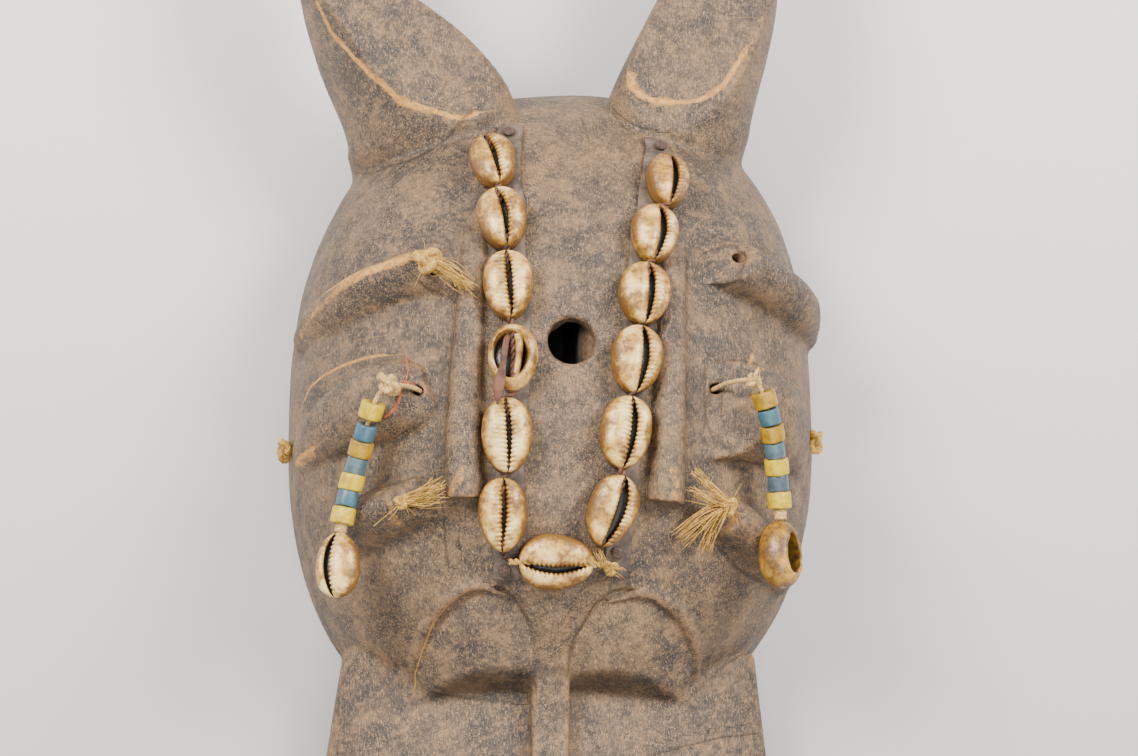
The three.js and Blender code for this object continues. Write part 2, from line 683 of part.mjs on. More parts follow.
// The two strings of shells, from the horns down, and the one across between their ends
const STRINGS = {
  left: {
    strap: [
      [-15.4, 82], [-17, 68.5], [-16, 47.8], [-15.2, 25.5], [-14.7, 2], [-15.6, -21.5], [-16.9, -45],
      [-17.2, -63],
    ],
    thongEnds: [[-21.8, 75], [-17, -57]],
    shells: [
      { at: [-20.9, 65.1], length: 20, width: 13.8, tilt: 12 },
      { at: [-18.8, 45.4], length: 20.5, width: 15, tilt: 9 },
      { at: [-17.3, 23.9], length: 21.5, width: 15.2, tilt: 2 },
      { at: [-15.8, 1.1], length: 20.5, width: 14.9, tilt: 0, isOpen: true },
      { at: [-17.4, -22.1], length: 22.5, width: 15.2, tilt: 0 },
      { at: [-18.2, -44.7], length: 22, width: 14.4, tilt: 1 },
    ],
  },
  right: {
    strap: [
      [30, 78.6], [28.2, 63], [24.6, 44], [22, 24], [20.2, 3], [18.6, -19.6], [16.7, -43],
      [15.4, -61.5],
    ],
    thongEnds: [[32.3, 70], [9.6, -54.4]],
    shells: [
      { at: [30.9, 60.3], length: 19, width: 13.2, tilt: -8 },
      { at: [26.3, 41.8], length: 19.2, width: 14.4, tilt: -8 },
      { at: [22.9, 22.4], length: 19.6, width: 15.5, tilt: -6 },
      { at: [20.4, 1.8], length: 20.8, width: 15.5, tilt: -6 },
      { at: [17.1, -20.4], length: 22, width: 15.5, tilt: -8 },
      { at: [13.3, -43], length: 22, width: 14.6, tilt: -17 },
    ],
  },
};
const BOTTOM_THONG = [[-15.2, -57.4], [-2.5, -57.3], [9.5, -57.4]];
const BOTTOM_COWRIE = { at: [-2.5, -57.3], length: 22.5, width: 16.5, tilt: 90 };
const BOTTOM_KNOT = { at: [13.4, -58.6], radii: [2.2, 2, 1.7] };

function addStrings() {
  const base = STRAP.thickness + 2 * GAP;
  Object.entries(STRINGS).forEach(([side, { strap: band, thongEnds, shells }]) => {
    addPiece(`strap_${side}`, trimStrap(strap(band), side), leather);
    addPiece(`thong_${side}`, thong(threaded(shells, ...thongEnds)), leather);
    shells.forEach(({ at, length, width, tilt, isOpen }, i) => {
      addPiece(`cowrie_${side}_${i + 1}`, cowrie(length, width, isOpen), shell, seat(at, base, tilt));
    });
  });
  const { at, length, width, tilt } = BOTTOM_COWRIE;
  addPiece('cowrie_bottom', cowrie(length, width), shell, seat(at, base, tilt));
  addPiece('thong_bottom', thong(BOTTOM_THONG), leather);
  const knot = new THREE.SphereGeometry(1, 7, 5).scale(...BOTTOM_KNOT.radii);
  addPiece('raffia_knot_bottom', solid(knot), raffia, seat(BOTTOM_KNOT.at, base + BOTTOM_KNOT.radii[2]));
  Object.entries(NAILS).forEach(([place, spot]) => {
    addPiece(`nail_${place}`, nail(), iron, seat(spot, base));
  });
}

function trimStrap(band, side) {
  return Object.entries(NAILS)
    .filter(([place]) => place.startsWith(side))
    .reduce((rest, [, at]) => rest.subtract(nailHole(at)), band);
}

// The two pendants: a cord out of the eye's hole, its knot, seven beads, a wrapping and a cowrie
const PENDANTS = {
  left: {
    route: [
      [-37.8, -7.3, 57], [-42, -7.4, 68], [-45, -7.6, 75], [-48.4, -7.8, 78.6], [-52.4, -8.2, 79.6],
      [-55.2, -9.8, 79.2], [-57, -12.6, 78], [-58.6, -17.6, 75.4], [-60.2, -23, 72.6], [-61.6, -28.5, 70],
      [-63, -34, 68], [-64.4, -39.5, 67], [-65.6, -45, 66.6], [-66.4, -50, 66.4], [-66.8, -55, 66.2],
      [-66.9, -58, 66.1],
    ],
    outward: [-0.3, -0.25, 0.9],
    knot: { at: 28.8, radius: 2.1, length: 3.4 },
    beads: [38.4, 45.3, 50.5, 55.7, 60.9, 66.1, 71.3],
    wrap: { at: 75, radius: 2.3, length: 2 },
    cowrie: { at: 86.2, length: 19.6, width: 13.5 },
  },
  right: {
    route: [
      [41.5, -3.7, 58], [45.2, -3.7, 67], [48.6, -3.7, 74.8], [51.6, -3.8, 78.4], [54.6, -4, 80.3],
      [57.2, -5.2, 80.8], [58.6, -7.8, 80], [60, -11.6, 78.6], [61.6, -16.4, 76.4],
      [62.8, -21.4, 73.6], [63.8, -26.4, 70.9], [64.6, -31.6, 68.6], [65.2, -37, 67], [65.6, -42, 66.2],
      [66, -47, 65.8], [66.2, -50, 65.6],
    ],
    outward: [0.45, -0.2, 0.85],
    knot: { at: 27.9, radius: 2.2, length: 2.2 },
    beads: [34.8, 40.1, 45.3, 50.5, 55.7, 60.9, 66.1],
    wrap: { at: 70.4, radius: 2.8, length: 2.4 },
    cowrie: { at: 82.3, length: 20.5, width: 14, isBroken: true },
  },
};

function addPendant(side, { route, outward, knot, beads, wrap, cowrie: end }) {
  const curve = new THREE.CatmullRomCurve3(route.map((point) => new THREE.Vector3(...point)));
  const out = new THREE.Vector3(...outward);
  addPiece(`pendant_cord_${side}`, cord(curve), raffia);
  const knotBody = collar(knot.radius, knot.length, 7, 0.5);
  addPiece(`pendant_knot_${side}`, knotBody, raffia, onCurve(curve, knot.at, out));
  beads.forEach((distance, i) => {
    const glass = i % 2 === 0 ? yellowGlass : blueGlass;
    const bead = collar(BEAD.radius, BEAD.length, 8);
    addPiece(`bead_${side}_${i + 1}`, bead, glass, onCurve(curve, distance, out));
  });
  const wrapBody = collar(wrap.radius, wrap.length, 7, 0.7);
  addPiece(`pendant_wrap_${side}`, wrapBody, raffia, onCurve(curve, wrap.at, out));
  const last = curve.getLength() - 1;
  const place = onCurve(curve, last, out);
  place.multiply(new THREE.Matrix4().makeTranslation(0, last - end.at, -COWRIE.waist));
  addPiece(`pendant_cowrie_${side}`, pendantCowrie(end.length, end.width, end.isBroken), shell, place);
}

// Raffia tufts knotted in the ends of the bars, and the cord knots in the mask's sides
const TUFTS = {
  brow_left: {
    hole: SMALL_HOLES.browLeft,
    knot: { at: [-41.6, 31, 79.4], radii: [5, 4.4, 3.1] },
    tails: [
      [
        { at: [-41.5, 31.2, 79.6], halfWidth: 2.8, height: 2.4 },
        { at: [-36, 28, 79.4], halfWidth: 2.6, height: 2.2 },
        { at: [-30, 23, 79.8], halfWidth: 4.2, height: 1.4 },
      ],
    ],
  },
  cheek_left: {
    hole: SMALL_HOLES.cheekLeft,
    knot: { at: [-48.6, -42.8, 77], radii: [2.8, 2.4, 2.2] },
    tails: [
      [
        { at: [-48, -42.6, 77], halfWidth: 2.2, height: 2 },
        { at: [-43.5, -41.6, 76.6], halfWidth: 2.4, height: 2 },
        { at: [-37.8, -38.6, 74.2], halfWidth: 4.6, height: 1.2 },
      ],
    ],
  },
  cheek_right: {
    hole: SMALL_HOLES.cheekRight,
    knot: { at: [49, -41.4, 73.4], radii: [2.8, 2.8, 2.4] },
    tails: [
      [[45, -38, 74.5], [39, -31, 74.8]],
      [[44.5, -41.5, 74], [38.5, -41.5, 73]],
      [[43, -46, 72], [34.5, -51.5, 70]],
      [[46, -46, 71], [44.5, -51.5, 67.5]],
    ].map(([middle, end]) => [
      { at: [48.5, -41.4, 73.4], halfWidth: 1.6, height: 1.4 },
      { at: middle, halfWidth: 1.8, height: 1.2 },
      { at: end, halfWidth: 2.6, height: 0.7 },
    ]),
  },
};

function addTufts() {
  Object.entries(TUFTS).forEach(([name, shape]) => addPiece(`raffia_tuft_${name}`, tuft(shape), raffia));
  ['left', 'right'].forEach((side) => {
    const hole = side === 'left' ? SMALL_HOLES.sideLeft : SMALL_HOLES.sideRight;
    const { body, place } = sideKnot(hole);
    addPiece(`side_knot_${side}`, body, raffia, place);
  });
}

addPiece('mask_body', carveMask(), wood);
addStrings();
Object.entries(PENDANTS).forEach(([side, pendant]) => addPendant(side, pendant));
addTufts();
mask.position.set(CENTRE_SHIFT.x, CENTRE_SHIFT.y, 0);

export default mask;
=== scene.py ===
# %% [markdown]
# # A carved face mask with horns, cowrie strings and beaded pendants
#
# The real mask is one block of dense wood, hollowed from behind, carved with an adze and a knife
# and darkened by handling. Leather straps laced with cowrie shells are nailed on its forehead, two
# beaded pendants hang from its eyes, and tufts of raffia are knotted into its carved bars.
# It lies face up on its back rim, and the camera looks down on it.

import math
import random

import bpy
import numpy as np
import openvdb
from mathutils import Matrix, Vector, noise


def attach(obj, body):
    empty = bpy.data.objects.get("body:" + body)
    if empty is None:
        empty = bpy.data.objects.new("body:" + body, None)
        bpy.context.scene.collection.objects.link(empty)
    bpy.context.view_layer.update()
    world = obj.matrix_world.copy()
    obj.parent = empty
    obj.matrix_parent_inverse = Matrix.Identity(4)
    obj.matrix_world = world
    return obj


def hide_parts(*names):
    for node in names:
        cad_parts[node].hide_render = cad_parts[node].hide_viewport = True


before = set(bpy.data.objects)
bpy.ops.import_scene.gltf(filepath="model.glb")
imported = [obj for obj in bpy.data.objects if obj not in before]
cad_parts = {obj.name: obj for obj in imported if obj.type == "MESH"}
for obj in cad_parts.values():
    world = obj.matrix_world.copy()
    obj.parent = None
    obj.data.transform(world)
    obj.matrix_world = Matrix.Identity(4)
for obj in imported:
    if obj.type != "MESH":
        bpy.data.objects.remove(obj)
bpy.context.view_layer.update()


def new_object(name, data):
    made = bpy.data.objects.new(name, data)
    bpy.context.collection.objects.link(made)
    return made


# %% [markdown]
# ## Where everything is measured from
#
# The carver's measures are taken in millimetres from the middle of the domed face, so every piece
# below is worked out there and moved to the part's own frame at the very end. That keeps the
# numbers easy to compare with a ruler held against the real mask.

# %% Measures of the face, in mm
MM = 0.001
CENTRE = np.array([1.3, 4.5, 0.0])

FACE_HALF_WIDTH = {"left": 81.6, "right": 84.4}
FACE_TOP = {"left": 103.5, "right": 111.0}
FACE_BOTTOM = {"left": 103.2, "right": 97.8}
FACE_HEIGHT = 76.0
FACE_FULLNESS = 2.47
WALL = 12.0


def to_part(points):
    """Millimetres from the middle of the face, to metres in the part's frame"""
    return (np.asarray(points, dtype=float) + CENTRE) * MM


def smooth_step(value, low, high):
    share = np.clip((value - low) / (high - low), 0.0, 1.0)
    return share * share * (3.0 - 2.0 * share)


def mix(low, high, share):
    return low + (high - low) * share


def signed_power(value, power):
    return math.copysign(abs(value) ** power, value)


# %% [markdown]
# ## The camera
#
# The photograph was taken from in front of the face, a little below it and to its left, with a
# long lens. A lens of about 111 mm on a 36 mm wide sensor, 1.1 m away, gives the same mild
# perspective. It is aimed so that the point on the face behind one known pixel falls on that pixel.

# %% Place the camera
PHOTO_SIZE = (1138, 756)
AIM_PIXEL = (552, 408)
AIM_POINT = np.array([0.0, 0.0, 28.0])
CAMERA_YAW = math.radians(5.0)
CAMERA_PITCH = math.radians(15.0)
CAMERA_DISTANCE = 1100.0
PIXELS_PER_MM = 3.2
SENSOR_WIDTH = 36.0

focal_pixels = PIXELS_PER_MM * CAMERA_DISTANCE
towards_camera = Vector((
    -math.sin(CAMERA_YAW) * math.cos(CAMERA_PITCH),
    -math.sin(CAMERA_PITCH),
    math.cos(CAMERA_YAW) * math.cos(CAMERA_PITCH),
))
view_right = Vector((0, 1, 0)).cross(towards_camera).normalized()
view_up = towards_camera.cross(view_right)
ahead = -towards_camera * focal_pixels
ahead += view_right * (PHOTO_SIZE[0] / 2 - AIM_PIXEL[0]) + view_up * (AIM_PIXEL[1] - PHOTO_SIZE[1] / 2)
ahead.normalize()
view_right = ahead.cross(view_up).normalized()
view_up = view_right.cross(ahead)

camera = new_object("camera", bpy.data.cameras.new("camera"))
camera.data.sensor_width = SENSOR_WIDTH
camera.data.lens = SENSOR_WIDTH * focal_pixels / PHOTO_SIZE[0]
turn = Matrix((view_right, view_up, -ahead)).transposed().to_4x4()
camera_spot = AIM_POINT + CAMERA_DISTANCE * np.array(towards_camera)
camera.matrix_world = Matrix.Translation(Vector(to_part(camera_spot))) @ turn
bpy.context.scene.camera = camera
print(f"Lens {camera.data.lens:.1f} mm, camera at {[round(v, 3) for v in camera.location]} m")

# %% [markdown]
# ## Smooth lines through a few points
#
# Cords, bars and horns all follow a line through a few given points. A centripetal Catmull-Rom
# spline passes through every one of them without loops, so the points can be read straight off the
# real object.


# %% Lines and lengths
def spline(points, count):
    """A smooth line of count places through the points, evenly spaced between them"""
    points = np.asarray(points, dtype=float)
    padded = np.vstack([2 * points[0] - points[1], points, 2 * points[-1] - points[-2]])
    steps = np.linalg.norm(np.diff(padded, axis=0), axis=1) ** 0.5
    place = np.linspace(0, len(points) - 1, count)
    first = np.minimum(place.astype(int), len(points) - 2)
    share = (place - first)[:, None]
    before, start, end, after = (padded[first + k] for k in range(4))
    gap_before, gap, gap_after = (steps[first + k][:, None] for k in range(3))
    leave = (start - before) / gap_before - (end - before) / (gap_before + gap) + (end - start) / gap
    arrive = (end - start) / gap - (after - start) / (gap + gap_after) + (after - end) / gap_after
    leave, arrive = leave * gap, arrive * gap
    curve = start + leave * share
    curve += (3 * (end - start) - 2 * leave - arrive) * share**2
    curve += (2 * (start - end) + leave + arrive) * share**3
    return curve


def line_lengths(line):
    return np.concatenate([[0.0], np.cumsum(np.linalg.norm(np.diff(line, axis=0), axis=1))])


def point_along(line, distance):
    """The place at a distance along a line, and the line's direction there"""
    lengths = line_lengths(line)
    spot = np.array([np.interp(distance, lengths, line[:, k]) for k in range(3)])
    back = np.array([np.interp(distance - 0.5, lengths, line[:, k]) for k in range(3)])
    on = np.array([np.interp(distance + 0.5, lengths, line[:, k]) for k in range(3)])
    return spot, (on - back) / np.linalg.norm(on - back)


def unit(vectors):
    return vectors / np.maximum(np.linalg.norm(vectors, axis=-1, keepdims=True), 1e-9)


def frame_from(across, along, above, spot):
    """A frame that stands at spot, with the given directions as its x, y and z"""
    place = Matrix((Vector(across), Vector(along), Vector(above))).transposed().to_4x4()
    place.translation = Vector(spot)
    return place


# %% [markdown]
# ## The dome
#
# The face is an egg with squared shoulders: a superellipsoid whose half length changes a little
# from its left to its right, because the carver's hand did. Everything that is nailed or carved on
# it finds its seat from the same formula, so nothing floats or sinks.


# %% Find places on the dome
def face_span(x, y):
    sideways = x / np.maximum(np.hypot(x, y), 1e-6)
    share = np.clip(0.5 + 0.7 * sideways, 0, 1)
    upper = mix(FACE_TOP["left"], FACE_TOP["right"], share)
    lower = mix(FACE_BOTTOM["left"], FACE_BOTTOM["right"], share)
    half_width = np.where(x < 0, FACE_HALF_WIDTH["left"], FACE_HALF_WIDTH["right"])
    return half_width, np.where(y > 0, upper, lower)


def snap_to_face(points):
    """The points of the dome straight out from its centre through the given points"""
    x, y, z = np.moveaxis(np.asarray(points, dtype=float), -1, 0)
    half_width, half_length = face_span(x, y)
    total = np.abs(x / half_width) ** FACE_FULLNESS + np.abs(y / half_length) ** FACE_FULLNESS
    total += np.abs(z / FACE_HEIGHT) ** FACE_FULLNESS
    return np.asarray(points) * (total ** (-1 / FACE_FULLNESS))[..., None]


def face_normal(points):
    x, y, z = np.moveaxis(np.asarray(points, dtype=float), -1, 0)
    half_width, half_length = face_span(x, y)

    def slope(value, half):
        return np.sign(value) * np.abs(value / half) ** (FACE_FULLNESS - 1) / half

    return unit(np.stack([slope(x, half_width), slope(y, half_length), slope(z, FACE_HEIGHT)], axis=-1))


def on_dome(x, y):
    half_width, half_length = face_span(x, y)
    rest = 1 - np.abs(x / half_width) ** FACE_FULLNESS - np.abs(y / half_length) ** FACE_FULLNESS
    return np.array([x, y, FACE_HEIGHT * rest ** (1 / FACE_FULLNESS)])


def seat(at, lift, tilt=0.0):
    """A frame on the dome: z stands off the wood, y runs to the horns, turned by tilt degrees"""
    foot = on_dome(*at)
    up = face_normal(foot)
    across = unit(np.cross([0, 1, 0], up))
    place = frame_from(across, np.cross(up, across), up, foot + lift * up)
    return place @ Matrix.Rotation(math.radians(tilt), 4, "Z")


print("The dome's middle stands", on_dome(0.0, 0.0)[2], "mm above the rim")

# %% [markdown]
# ## Making meshes
#
# Most small pieces are lofts: a row of closed rings joined into a skin and shut at both ends. One
# helper builds the mesh, moves it to the part's frame, gives it a material and says which packed
# node it stands for. Values that a material needs at each point, such as how worn it is, are
# stored on the mesh as attributes.


# %% Mesh helpers
def loft(rings, close_ends=True):
    """Faces that join rings of equal size into one closed skin"""
    count, around = rings.shape[:2]
    near = np.arange(count - 1)[:, None] * around + np.arange(around)
    far = near + around
    turned = np.roll(near, -1, axis=1)
    faces = np.stack([near, turned, turned + around, far], axis=-1).reshape(-1, 4).tolist()
    if close_ends:
        faces.append(list(range(around))[::-1])
        faces.append(list(range((count - 1) * around, count * around)))
    return rings.reshape(-1, 3), faces


def joined(parts):
    """Several skins as one list of points and faces"""
    points, faces, start = [], [], 0
    for part_points, part_faces in parts:
        points.append(np.asarray(part_points))
        faces += [[i + start for i in face] for face in part_faces]
        start += len(part_points)
    return np.vstack(points), faces


def make_piece(name, skin, material, nodes=(), place=None, values=None):
    """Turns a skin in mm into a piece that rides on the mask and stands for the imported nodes"""
    points, faces = skin
    points = np.asarray(points, dtype=float)
    if place is not None:
        turned = np.array(place.to_3x3())
        points = points @ turned.T + np.array(place.translation)
    mesh = bpy.data.meshes.new(name)
    mesh.from_pydata(to_part(points).tolist(), [], faces)
    mesh.validate()
    for key, value in (values or {}).items():
        mesh.attributes.new(key, "FLOAT", "POINT").data.foreach_set("value", value.astype(np.float32))
    mesh.materials.append(material)
    mesh.polygons.foreach_set("use_smooth", [True] * len(mesh.polygons))
    piece = new_object(name, mesh)
    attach(piece, "root")
    if nodes:
        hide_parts(*nodes)
    return piece


def tube(line, radius, sides=10, ply=1, pitch=6.0):
    """A rod along a line. More than one ply gives it the rope's lobes, one turn each pitch mm."""
    line = np.asarray(line, dtype=float)
    tangent = unit(np.gradient(line, axis=0))
    across = unit(np.cross(tangent[0], [0.3, 0.2, 1.0]))
    lengths = line_lengths(line)
    radius = np.broadcast_to(radius, len(line))
    rings = []
    for spot, along, length, size in zip(line, tangent, lengths, radius):
        across = unit(across - along * (across @ along))
        above = np.cross(along, across)
        angle = np.linspace(0, 2 * math.pi, sides, endpoint=False)
        lobes = 1.0
        if ply > 1:
            turned = angle - 2 * math.pi * length / pitch
            lobes = 0.74 + 0.26 * np.abs(np.cos(ply * turned / 2))
        ring = np.cos(angle)[:, None] * across + np.sin(angle)[:, None] * above
        rings.append(spot + (size * lobes * ring.T).T)
    return loft(np.array(rings))


# %% [markdown]
# ## Making materials
#
# Every finish below is a small network of shader nodes around one Principled shader. Colours are
# written as the sRGB values that a colour chart would give, and one function turns them into the
# linear values that the shader wants. Pattern sizes are written in millimetres.


# %% Material helpers
def linear(hex_colour):
    channels = [int(hex_colour[i:i + 2], 16) / 255 for i in (1, 3, 5)]
    return [c / 12.92 if c <= 0.04045 else ((c + 0.055) / 1.055) ** 2.4 for c in channels] + [1.0]


def per_mm(size):
    """The texture scale at which one feature is size mm wide"""
    return 1 / (size * MM)


def start_material(name, **sockets):
    material = bpy.data.materials.new(name)
    material.use_nodes = True
    shader = material.node_tree.nodes["Principled BSDF"]
    for key, value in sockets.items():
        shader.inputs[key.replace("_", " ")].default_value = value
    return material, material.node_tree, shader


def add(tree, kind, values=None, links=None, **settings):
    """Adds one node, sets its fields and sockets, and links its inputs"""
    new = tree.nodes.new("ShaderNode" + kind)
    for field, value in settings.items():
        setattr(new, field, value)
    for socket, value in (values or {}).items():
        new.inputs[socket].default_value = value
    for socket, source in (links or {}).items():
        tree.links.new(source, new.inputs[socket])
    return new


def grain_noise(tree, where, size, detail=4.0, roughness=0.6):
    """Noise whose blotches are size mm wide, from 0 to 1"""
    values = {"Scale": per_mm(size), "Detail": detail, "Roughness": roughness}
    return add(tree, "TexNoise", values, {"Vector": where}).outputs["Fac"]


def ramped(tree, source, low, high):
    """Stretches a value so that low becomes 0 and high becomes 1"""
    values = {"From Min": low, "From Max": high}
    return add(tree, "MapRange", values, {"Value": source}, interpolation_type="SMOOTHSTEP").outputs[0]


def times(tree, first, second):
    links = {0: first}
    values = {}
    if isinstance(second, float):
        values[1] = second
    else:
        links[1] = second
    return add(tree, "Math", values, links, operation="MULTIPLY").outputs[0]


def times_plus(tree, source, factor, extra):
    return add(tree, "Math", {1: factor}, {0: source, 2: extra}, operation="MULTIPLY_ADD").outputs[0]


def without_sign(tree, source):
    return add(tree, "Math", {}, {0: source}, operation="ABSOLUTE").outputs[0]


def between_limits(tree, source, low, high):
    """Spreads a value that runs from 0 to 1 out from low to high"""
    return add(tree, "MapRange", {"To Min": low, "To Max": high}, {"Value": source}).outputs[0]


def blended(tree, share, first, second):
    """Two colours mixed by a share; either may be a hex value or another node's colour"""
    values, links = {}, {0: share}
    for socket, colour in ((6, first), (7, second)):
        if isinstance(colour, str):
            values[socket] = linear(colour)
        else:
            links[socket] = colour
    return add(tree, "Mix", values, links, data_type="RGBA").outputs[2]


def stained(tree, colour, source, low, high, strength, tone):
    """Lays a tone over a colour as source goes from low to high, by strength at most"""
    return blended(tree, times(tree, ramped(tree, source, low, high), strength), colour, tone)


def place_on_object(tree, stretch=(1, 1, 1)):
    where = add(tree, "TexCoord").outputs["Object"]
    return add(tree, "Mapping", {"Scale": stretch}, {"Vector": where}).outputs[0]


def stored(tree, key):
    return add(tree, "Attribute", attribute_name=key).outputs["Fac"]


def connect(tree, shader, colour, height, depth, rough=None):
    """Gives the shader its colour, a bump of depth mm and a roughness that varies"""
    tree.links.new(colour, shader.inputs["Base Color"])
    if rough is not None:
        tree.links.new(rough, shader.inputs["Roughness"])
    bump = add(tree, "Bump", {"Distance": depth * MM, "Strength": 1.0}, {"Height": height})
    tree.links.new(bump.outputs["Normal"], shader.inputs["Normal"])


# %% [markdown]
# ## Plant-fibre cord
#
# The pendants hang on a two-ply cord of twisted plant fibre, matt and straw-coloured, reddened
# with camwood where it has been dyed. Noise stretched along nothing in particular is enough at
# this size, because the twist itself is in the mesh.


# %% Twisted cord and raffia finishes
def fibre_material(name, pale, deep, shade):
    material, tree, shader = start_material(name, Roughness=0.85)
    where = place_on_object(tree)
    fine = ramped(tree, grain_noise(tree, where, 0.5), 0.35, 0.65)
    colour = blended(tree, fine, deep, pale)
    colour = stained(tree, colour, grain_noise(tree, where, 3.0), 0.45, 0.65, 0.5, shade)
    connect(tree, shader, colour, fine, 0.12)
    return material


cord_fibre = fibre_material("twisted plant-fibre cord", "#e9cb8c", "#b38848", "#946a34")
red_fibre = fibre_material("fibre dyed with camwood", "#b87450", "#8e4a30", "#743a26")
raffia = fibre_material("dried raffia palm", "#e4bd62", "#a97c30", "#70501c")

# %% [markdown]
# ## The two pendant cords
#
# Each cord comes up out of the hole in an eye lobe, is knotted just in front of it, drops over the
# cheek through seven beads and ends in the tip of a cowrie. The whole length shows in the
# photograph, so it is measured there. The cord is limp, and it hangs by its own weight against
# the cheek, so its route stays close to the wood.

# %% Lay the pendant cords
CORD_RADIUS = 0.75
PENDANTS = {
    "left": {
        "route": [
            (-37.8, -7.3, 57), (-42, -7.4, 68), (-45, -7.6, 75), (-48.4, -7.8, 78.6), (-52.4, -8.2, 79.6),
            (-55.2, -9.8, 79.2), (-57, -12.6, 78), (-58.6, -17.6, 75.4), (-60.2, -23, 72.6),
            (-61.6, -28.5, 70), (-63, -34, 68), (-64.4, -39.5, 67), (-65.6, -45, 66.6),
            (-66.4, -50, 66.4), (-66.8, -55, 66.2), (-66.9, -58, 66.1),
        ],
        "outward": (-0.3, -0.25, 0.9),
        "knot": 28.8,
        "beads": (38.4, 45.3, 50.5, 55.7, 60.9, 66.1, 71.3),
        "wrap": 75.0,
        "cowrie": {"at": 86.2, "length": 19.6, "width": 13.5},
    },
    "right": {
        "route": [
            (41.5, -3.7, 58), (45.2, -3.7, 67), (48.6, -3.7, 74.8), (51.6, -3.8, 78.4), (54.6, -4, 80.3),
            (57.2, -5.2, 80.8), (58.6, -7.8, 80), (60, -11.6, 78.6), (61.6, -16.4, 76.4),
            (62.8, -21.4, 73.6), (63.8, -26.4, 70.9), (64.6, -31.6, 68.6), (65.2, -37, 67),
            (65.6, -42, 66.2), (66, -47, 65.8), (66.2, -50, 65.6),
        ],
        "outward": (0.45, -0.2, 0.85),
        "knot": 27.9,
        "beads": (34.8, 40.1, 45.3, 50.5, 55.7, 60.9, 66.1),
        "wrap": 70.4,
        "cowrie": {"at": 82.3, "length": 20.5, "width": 14.0},
    },
}


def cord_line(side):
    return spline(PENDANTS[side]["route"], 320)


def on_cord(side, distance, roll=0.0):
    """A frame on the cord: y runs back along it, z faces away from the wood"""
    spot, along = point_along(cord_line(side), distance)
    across = unit(np.cross(-along, PENDANTS[side]["outward"]))
    place = frame_from(across, -along, np.cross(across, -along), spot)
    return place @ Matrix.Rotation(math.radians(roll), 4, "Y")


for side in PENDANTS:
    line = cord_line(side)
    skin = tube(line, CORD_RADIUS, sides=12, ply=2, pitch=2.6)
    make_piece(f"cord_{side}", skin, cord_fibre, [f"pendant_cord_{side}"])
    print(f"The {side} cord is {line_lengths(line)[-1]:.1f} mm long")

# %% [markdown]
# ## The wood, as a field of distances
#
# Carving joins shapes softly: a bar grows out of the cheek with a small fillet where the knife
# turned. Plain mesh booleans give knife-sharp seams instead. So the wood is worked out as a field:
# each cell of a fine grid holds its distance from the surface. Two shapes are joined by taking the
# smaller distance, with a little softness, and a hollow is cut by taking the larger. The skin is
# then drawn through the cells where the distance is nought.

# %% The grid
STEP = 0.95
GRID_LOW = np.array([-92.0, -213.0, -3.0])
GRID_HIGH = np.array([91.0, 209.0, 84.0])
GRID_COUNT = ((GRID_HIGH - GRID_LOW) / STEP).astype(int) + 1


def window(low, high):
    """The cells between two corners, and their x, y and z"""
    first = np.maximum(((np.asarray(low) - GRID_LOW) / STEP).astype(int), 0)
    last = np.minimum(((np.asarray(high) - GRID_LOW) / STEP).astype(int) + 2, GRID_COUNT)
    cells = tuple(slice(a, b) for a, b in zip(first, last))
    axes = [(GRID_LOW[k] + STEP * np.arange(first[k], last[k])).astype(np.float32) for k in range(3)]
    return cells, np.meshgrid(*axes, indexing="ij", sparse=True)


def join(first, second, soft=1.0):
    share = np.clip(0.5 + 0.5 * (second - first) / soft, 0, 1)
    return second + (first - second) * share - soft * share * (1 - share)


def cut(body, tool, soft=1.0):
    return -join(-body, tool, soft)


def overlap(first, second, soft=1.0):
    return -join(-first, -second, soft)


def outline_distance(outline, u, v):
    """Distance in a plane from a closed outline, less than nought inside"""
    closest = np.full(np.broadcast(u, v).shape, 1e9, dtype=np.float32)
    inside = np.zeros(closest.shape, dtype=bool)
    for (u0, v0), (u1, v1) in zip(outline, np.roll(outline, -1, axis=0)):
        du, dv = u1 - u0, v1 - v0
        share = np.clip(((u - u0) * du + (v - v0) * dv) / (du * du + dv * dv), 0, 1)
        closest = np.minimum(closest, (u - u0 - share * du) ** 2 + (v - v0 - share * dv) ** 2)
        if v0 != v1:
            inside ^= ((v0 > v) != (v1 > v)) & (u < u0 + (v - v0) * du / dv)
    return np.where(inside, -1, 1) * np.sqrt(closest)


def egg_distance(x, y, z, radii):
    reach = np.sqrt((x / radii[0]) ** 2 + (y / radii[1]) ** 2 + (z / radii[2]) ** 2)
    fall = np.sqrt((x / radii[0] ** 2) ** 2 + (y / radii[1] ** 2) ** 2 + (z / radii[2] ** 2) ** 2)
    return reach * (reach - 1) / np.maximum(fall, 1e-6)


print("The grid has", "x".join(str(n) for n in GRID_COUNT), "cells of", STEP, "mm")

# %% [markdown]
# ## Bars, tubes and horns
#
# Each of these is an oval bar that follows a few stops. At every stop it has a half width and a
# height. Its first end is cut straight, and on the cheeks it slopes back as it rises. A squarer
# section gives the crisp crest that the knife left, and lean moves that crest to one side.


# %% Distance from a carved bar
def stop_value(stops, share, key):
    values = [stop[key] for stop in stops]
    return np.interp(share, np.linspace(0, 1, len(stops)), values)


